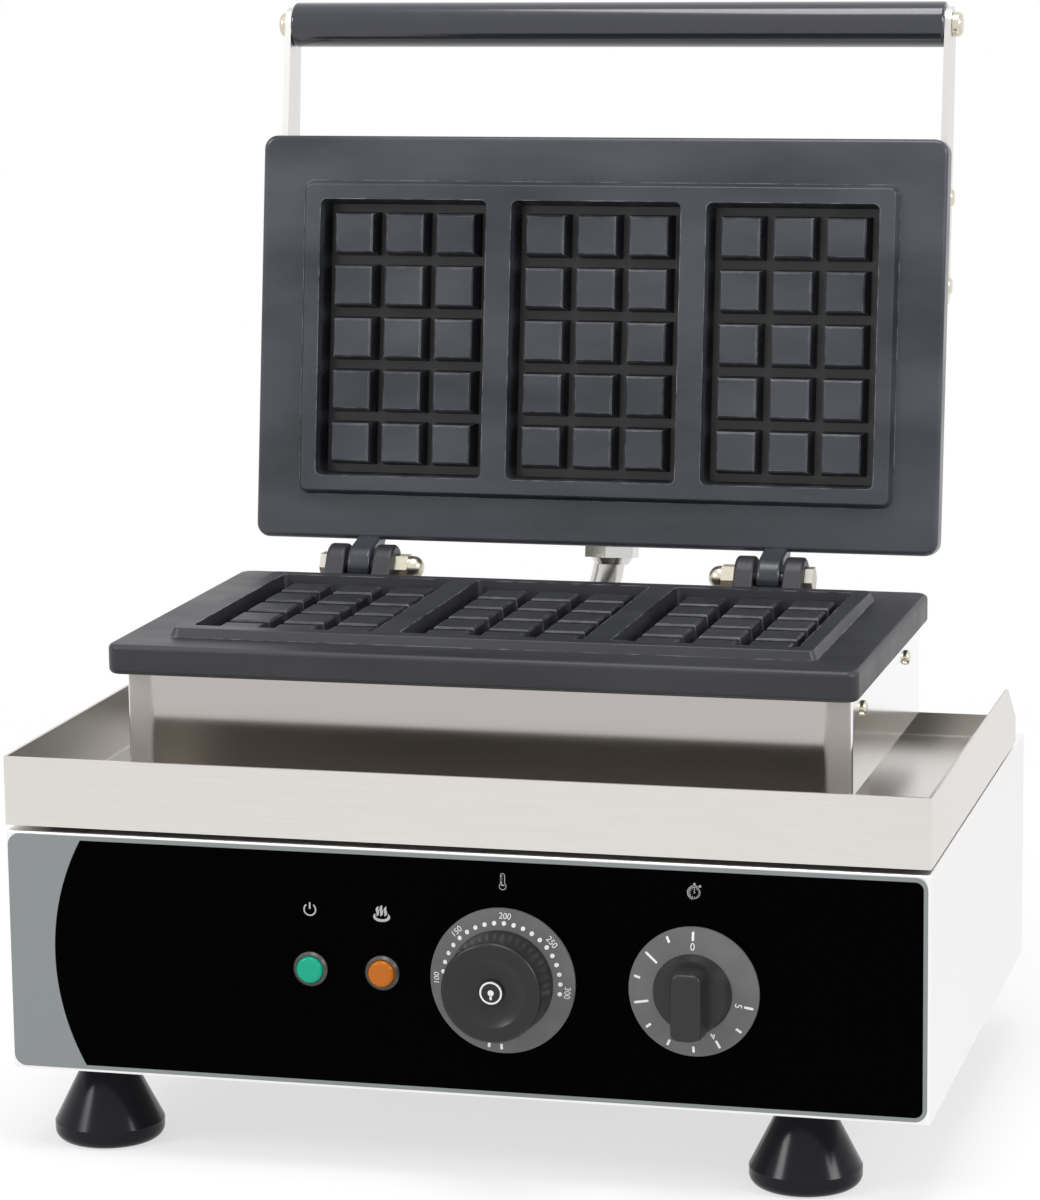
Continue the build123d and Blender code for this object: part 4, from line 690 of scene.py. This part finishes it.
def baked_enamel(name, thick, thin, roughness, turn, shift, flip):
    """Enamel over a casting, in smears 80 mm long and 33 mm wide from its thick to its thin tone.

    turn, shift and flip bring the pad's centre to zero, with depth into the wells along Z.
    Pale patches 6 mm across on the rounded edges are partly wear and partly painted highlight,
    and a peel 1.4 mm across ripples the gloss.
    """
    material = new_material(name)
    place = add_node(material, "TexCoord").outputs["Object"]
    laid = {"Vector": place, "Rotation": (turn, 0, 0), "Location": shift, "Scale": (1, 1, flip)}
    local = add_node(material, "Mapping", laid).outputs[0]
    reach = add_node(material, "VectorMath", {0: local}, operation="ABSOLUTE").outputs[0]
    axes = add_node(material, "SeparateXYZ", {"Vector": reach}).outputs
    depth = add_node(material, "SeparateXYZ", {"Vector": local}).outputs["Z"]
    inside = 1.0
    for axis, size in (("X", casting_w), ("Y", casting_d)):
        limit = {0: axes[axis], 1: size / 2 - pad_margin - well_margin}
        within = add_node(material, "Math", limit, operation="LESS_THAN").outputs[0]
        both = {0: within, 1: inside}
        inside = add_node(material, "Math", both, operation="MULTIPLY").outputs[0]
    # Painted shade: inside the grid the coat darkens with depth into the wells, to #19191c.
    sink = {"Value": depth, "From Min": well_shade_from, "From Max": well_shade_to}
    sunk = add_node(material, "MapRange", sink).outputs[0]
    well_shade = add_node(material, "Math", {0: sunk, 1: inside}, operation="MULTIPLY").outputs[0]
    drawn = add_node(material, "Mapping", {"Vector": place, "Scale": (12, 30, 30)}).outputs[0]
    smears = {"Vector": drawn, "Scale": 1, "Detail": 6}
    smear = {"Value": add_node(material, "TexNoise", smears).outputs["Fac"]}
    smear = add_node(material, "MapRange", smear | {"From Min": 0.32, "From Max": 0.68}).outputs[0]
    coats = {"Factor": smear, "A": linear(thick), "B": linear(thin)}
    coat = add_node(material, "Mix", coats, data_type="RGBA").outputs["Result"]
    wells = {"Factor": well_shade, "A": coat, "B": linear("#19191c")}
    coat = add_node(material, "Mix", wells, data_type="RGBA").outputs["Result"]
    # Pale edges, partly wear and partly painted highlight, where the rounded normal leaves the
    # face's.
    soft = add_node(material, "Bevel", {"Radius": edge_radius}, samples=6).outputs[0]
    plain = add_node(material, "NewGeometry").outputs["Normal"]
    normals = {0: soft, 1: plain}
    same = add_node(material, "VectorMath", normals, operation="DOT_PRODUCT").outputs["Value"]
    edge = {"Value": same, "From Min": 0.99, "From Max": 0.85, "To Max": 0.9}
    edge_wear_and_highlight = add_node(material, "MapRange", edge).outputs[0]
    scuff_and_glint_noise = {"Vector": place, "Scale": 160, "Detail": 5}
    scuff_and_glint = {"Value": add_node(material, "TexNoise", scuff_and_glint_noise).outputs["Fac"]}
    scuff_and_glint = add_node(material, "MapRange", scuff_and_glint | {"From Min": 0.42, "From Max": 0.62}).outputs[0]
    edge_and_scuff = {0: edge_wear_and_highlight, 1: scuff_and_glint}
    wear_and_highlight_mask = add_node(material, "Math", edge_and_scuff, operation="MULTIPLY").outputs[0]
    unshaded = add_node(material, "Math", {0: 1.0, 1: well_shade}, operation="SUBTRACT").outputs[0]
    wear_and_highlight_mask = add_node(material, "Math", {0: wear_and_highlight_mask, 1: unshaded}, operation="MULTIPLY").outputs[0]
    # 94959b is the pale tone of the worn edges and their painted highlight.
    wear = {"Factor": wear_and_highlight_mask, "A": coat, "B": linear("#94959b")}
    peel = {"Vector": place, "Scale": 700, "Detail": 4}
    relief = {"Height": add_node(material, "TexNoise", peel).outputs["Fac"], "Strength": 0.12}
    gloss = {"Value": smear, "To Min": roughness - 0.06, "To Max": roughness + 0.08}
    enamel = {
        "Base Color": add_node(material, "Mix", wear, data_type="RGBA").outputs["Result"],
        "Roughness": add_node(material, "MapRange", gloss).outputs[0],
        "Normal": add_node(material, "Bump", relief | {"Distance": 0.1 * MM}).outputs[0],
    }
    return finish(material, add_node(material, "BsdfPrincipled", enamel))


lower_shift = Vector((0, -lower_mid_y, hinge_place.z + pad_above_pin))
upper_shift = -(Matrix.Rotation(lid_turn, 3, "X") @ hinge_place)
upper_shift -= Vector((0, lid_mid_y, lid_pad_above_pin))
# The lower casting's enamel takes darker tones than the upper's, though both are one coat: painted
# shade.
lower_enamel = baked_enamel(
    "baked enamel on lower casting", "#1a1b1f", "#292a2f", 0.42, 0, lower_shift, -1
)
upper_enamel = baked_enamel(
    "baked enamel on upper casting", "#25282f", "#404249", 0.27, lid_turn, upper_shift, 1
)
dress(lower_enamel, "lower_plate")
dress(upper_enamel, "upper_plate")


# Heating behind the castings: sheathed elements, clamp bars and pads of mineral wool
# The sheath is dulled and browned by heat, the bars are zinc-plated, the wool keeps the heat in.
def mineral_wool():
    """Pale felted wool, quite matt, its tufts of fibres 1.1 mm thick and 8 mm long."""
    material = new_material("mineral wool")
    place = add_node(material, "TexCoord").outputs["Object"]
    felted = add_node(material, "Mapping", {"Vector": place, "Scale": (900, 900, 120)})
    strands = {"Vector": felted.outputs[0], "Scale": 1, "Detail": 6}
    fibre = add_node(material, "TexNoise", strands).outputs["Fac"]
    tones = {"Factor": fibre, "A": linear("#cfc7b2"), "B": linear("#efe9da")}
    lumps = {"Height": fibre, "Strength": 0.8, "Distance": 0.6 * MM}
    wool = {
        "Base Color": add_node(material, "Mix", tones, data_type="RGBA").outputs["Result"],
        "Roughness": 0.9,
        "Normal": add_node(material, "Bump", lumps).outputs[0],
    }
    return finish(material, add_node(material, "BsdfPrincipled", wool))


sheath = bright_metal("oxidised heater sheath", "#6b625c", 0.5)
wool = mineral_wool()
for half in ("lower", "upper"):
    dress(sheath, f"{half}_heater")
    dress(zinc, f"{half}_clamps")
    dress(wool, f"{half}_wool")
    dress(nickel, f"{half}_clamp_screws")


# Hinges: nickel-plated bolts with domed nuts
# The lugs and knuckles are part of the castings, and the bolts are their pins.
dress(bright_metal("nickel-plated hinge bolt", "#bcb8b0", 0.3), "hinge_bolts")
dress(nickel, "hinge_nuts")


# Lid cover: satin stainless pan on four posts over the upper casting
# It closes the heating from behind and carries the handle's arms on its sides.
cover_sheet = stainless("satin stainless cover sheet", "#e8e7e5", "#e4e3e1", 0.34)
dress(cover_sheet, "upper_cover")
dress(zinc, "cover_posts")
dress(nickel, "cover_screws")


# Handle: two satin steel flats and a gloss black phenolic grip on a tie rod
# The grip is moulded and polished to a deep gloss, the flats are cut from sheet and rounded at
# the tips, with a rolled grain.
flat_steel = stainless("satin steel flat", "#e2e0de", "#dddbd9", 0.3)
dress(flat_steel, "handle_arm_left", "handle_arm_right")
dress(moulding("black phenolic grip", "#1f212b", 0.17, relief=0.02, coat=0.6), "handle_grip")
dress(turned, "handle_rod")
dress(nickel, "handle_rod_nuts", "handle_arm_screws")


# Conduit: smooth bright steel hose from the lid's gland to the cabinet's
# It is held in a polished nickel gland at each end, and is drawn in one shape, as it lies with the
# lid open.
gland_nickel = bright_metal("polished nickel gland", "#d4d4d2", 0.14)
dress(gland_nickel, "lid_gland", "lid_gland_nut", "cabinet_gland", "cabinet_gland_nut")

# Each seat is where a gland meets its sheet. The lid's is measured from the hinge pin, along the
# closed lid, and the conduit leaves it along the lid's back.
conduit_r = 6.2 * MM
gland_inside = 6.0 * MM
gland_drop = 22.0 * MM
gland_slant = 20.0 * MM
lid_hole = Vector((3.4 * MM, -12.6 * MM, 31.4 * MM))
gland_low, gland_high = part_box("cabinet_gland")
cabinet_seat = Vector(
    (
        (gland_low[0] + gland_high[0]) / 2,
        (gland_low[1] + gland_high[1]) / 2,
        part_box("base_housing")[1][2],
    )
)
lid_back = Matrix.Rotation(-lid_turn, 3, "X")
lid_out = lid_back @ Vector((0, 1, 0))
lid_seat = hinge_place + lid_back @ lid_hole
across = Vector((1, 0, 0))
up_axis = Vector((0, 0, 1))
conduit_points = [
    lid_seat - lid_out * gland_inside,
    lid_seat + lid_out * gland_drop,
    lid_seat + lid_out * (gland_drop + gland_slant) - across * gland_slant,
    cabinet_seat + up_axis * (gland_drop + gland_slant) + across * gland_slant,
    cabinet_seat + up_axis * gland_drop,
    cabinet_seat - up_axis * gland_inside,
]
hose_curve = bpy.data.curves.new("hose", "CURVE")
hose_curve.dimensions = "3D"
hose_curve.resolution_u = 24
hose_curve.bevel_depth = conduit_r
hose_curve.bevel_resolution = 8
hose_curve.use_fill_caps = True
hose_line = hose_curve.splines.new("NURBS")
hose_line.points.add(len(conduit_points) - 1)
for point, place in zip(hose_line.points, conduit_points):
    point.co = (*place, 1)
hose_line.order_u = 3
hose_line.use_endpoint_u = True
hose = bpy.data.objects.new("hose", hose_curve)
bpy.context.scene.collection.objects.link(hose)
bpy.ops.object.select_all(action="DESELECT")
hose.select_set(True)
bpy.context.view_layer.objects.active = hose
bpy.ops.object.convert(target="MESH")
hose = bpy.context.object
bpy.ops.object.shade_smooth()
hose.data.materials.clear()
hose.data.materials.append(bright_metal("bright hose steel", "#d6d4d0", 0.2))
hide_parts("conduit")
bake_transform(hose)
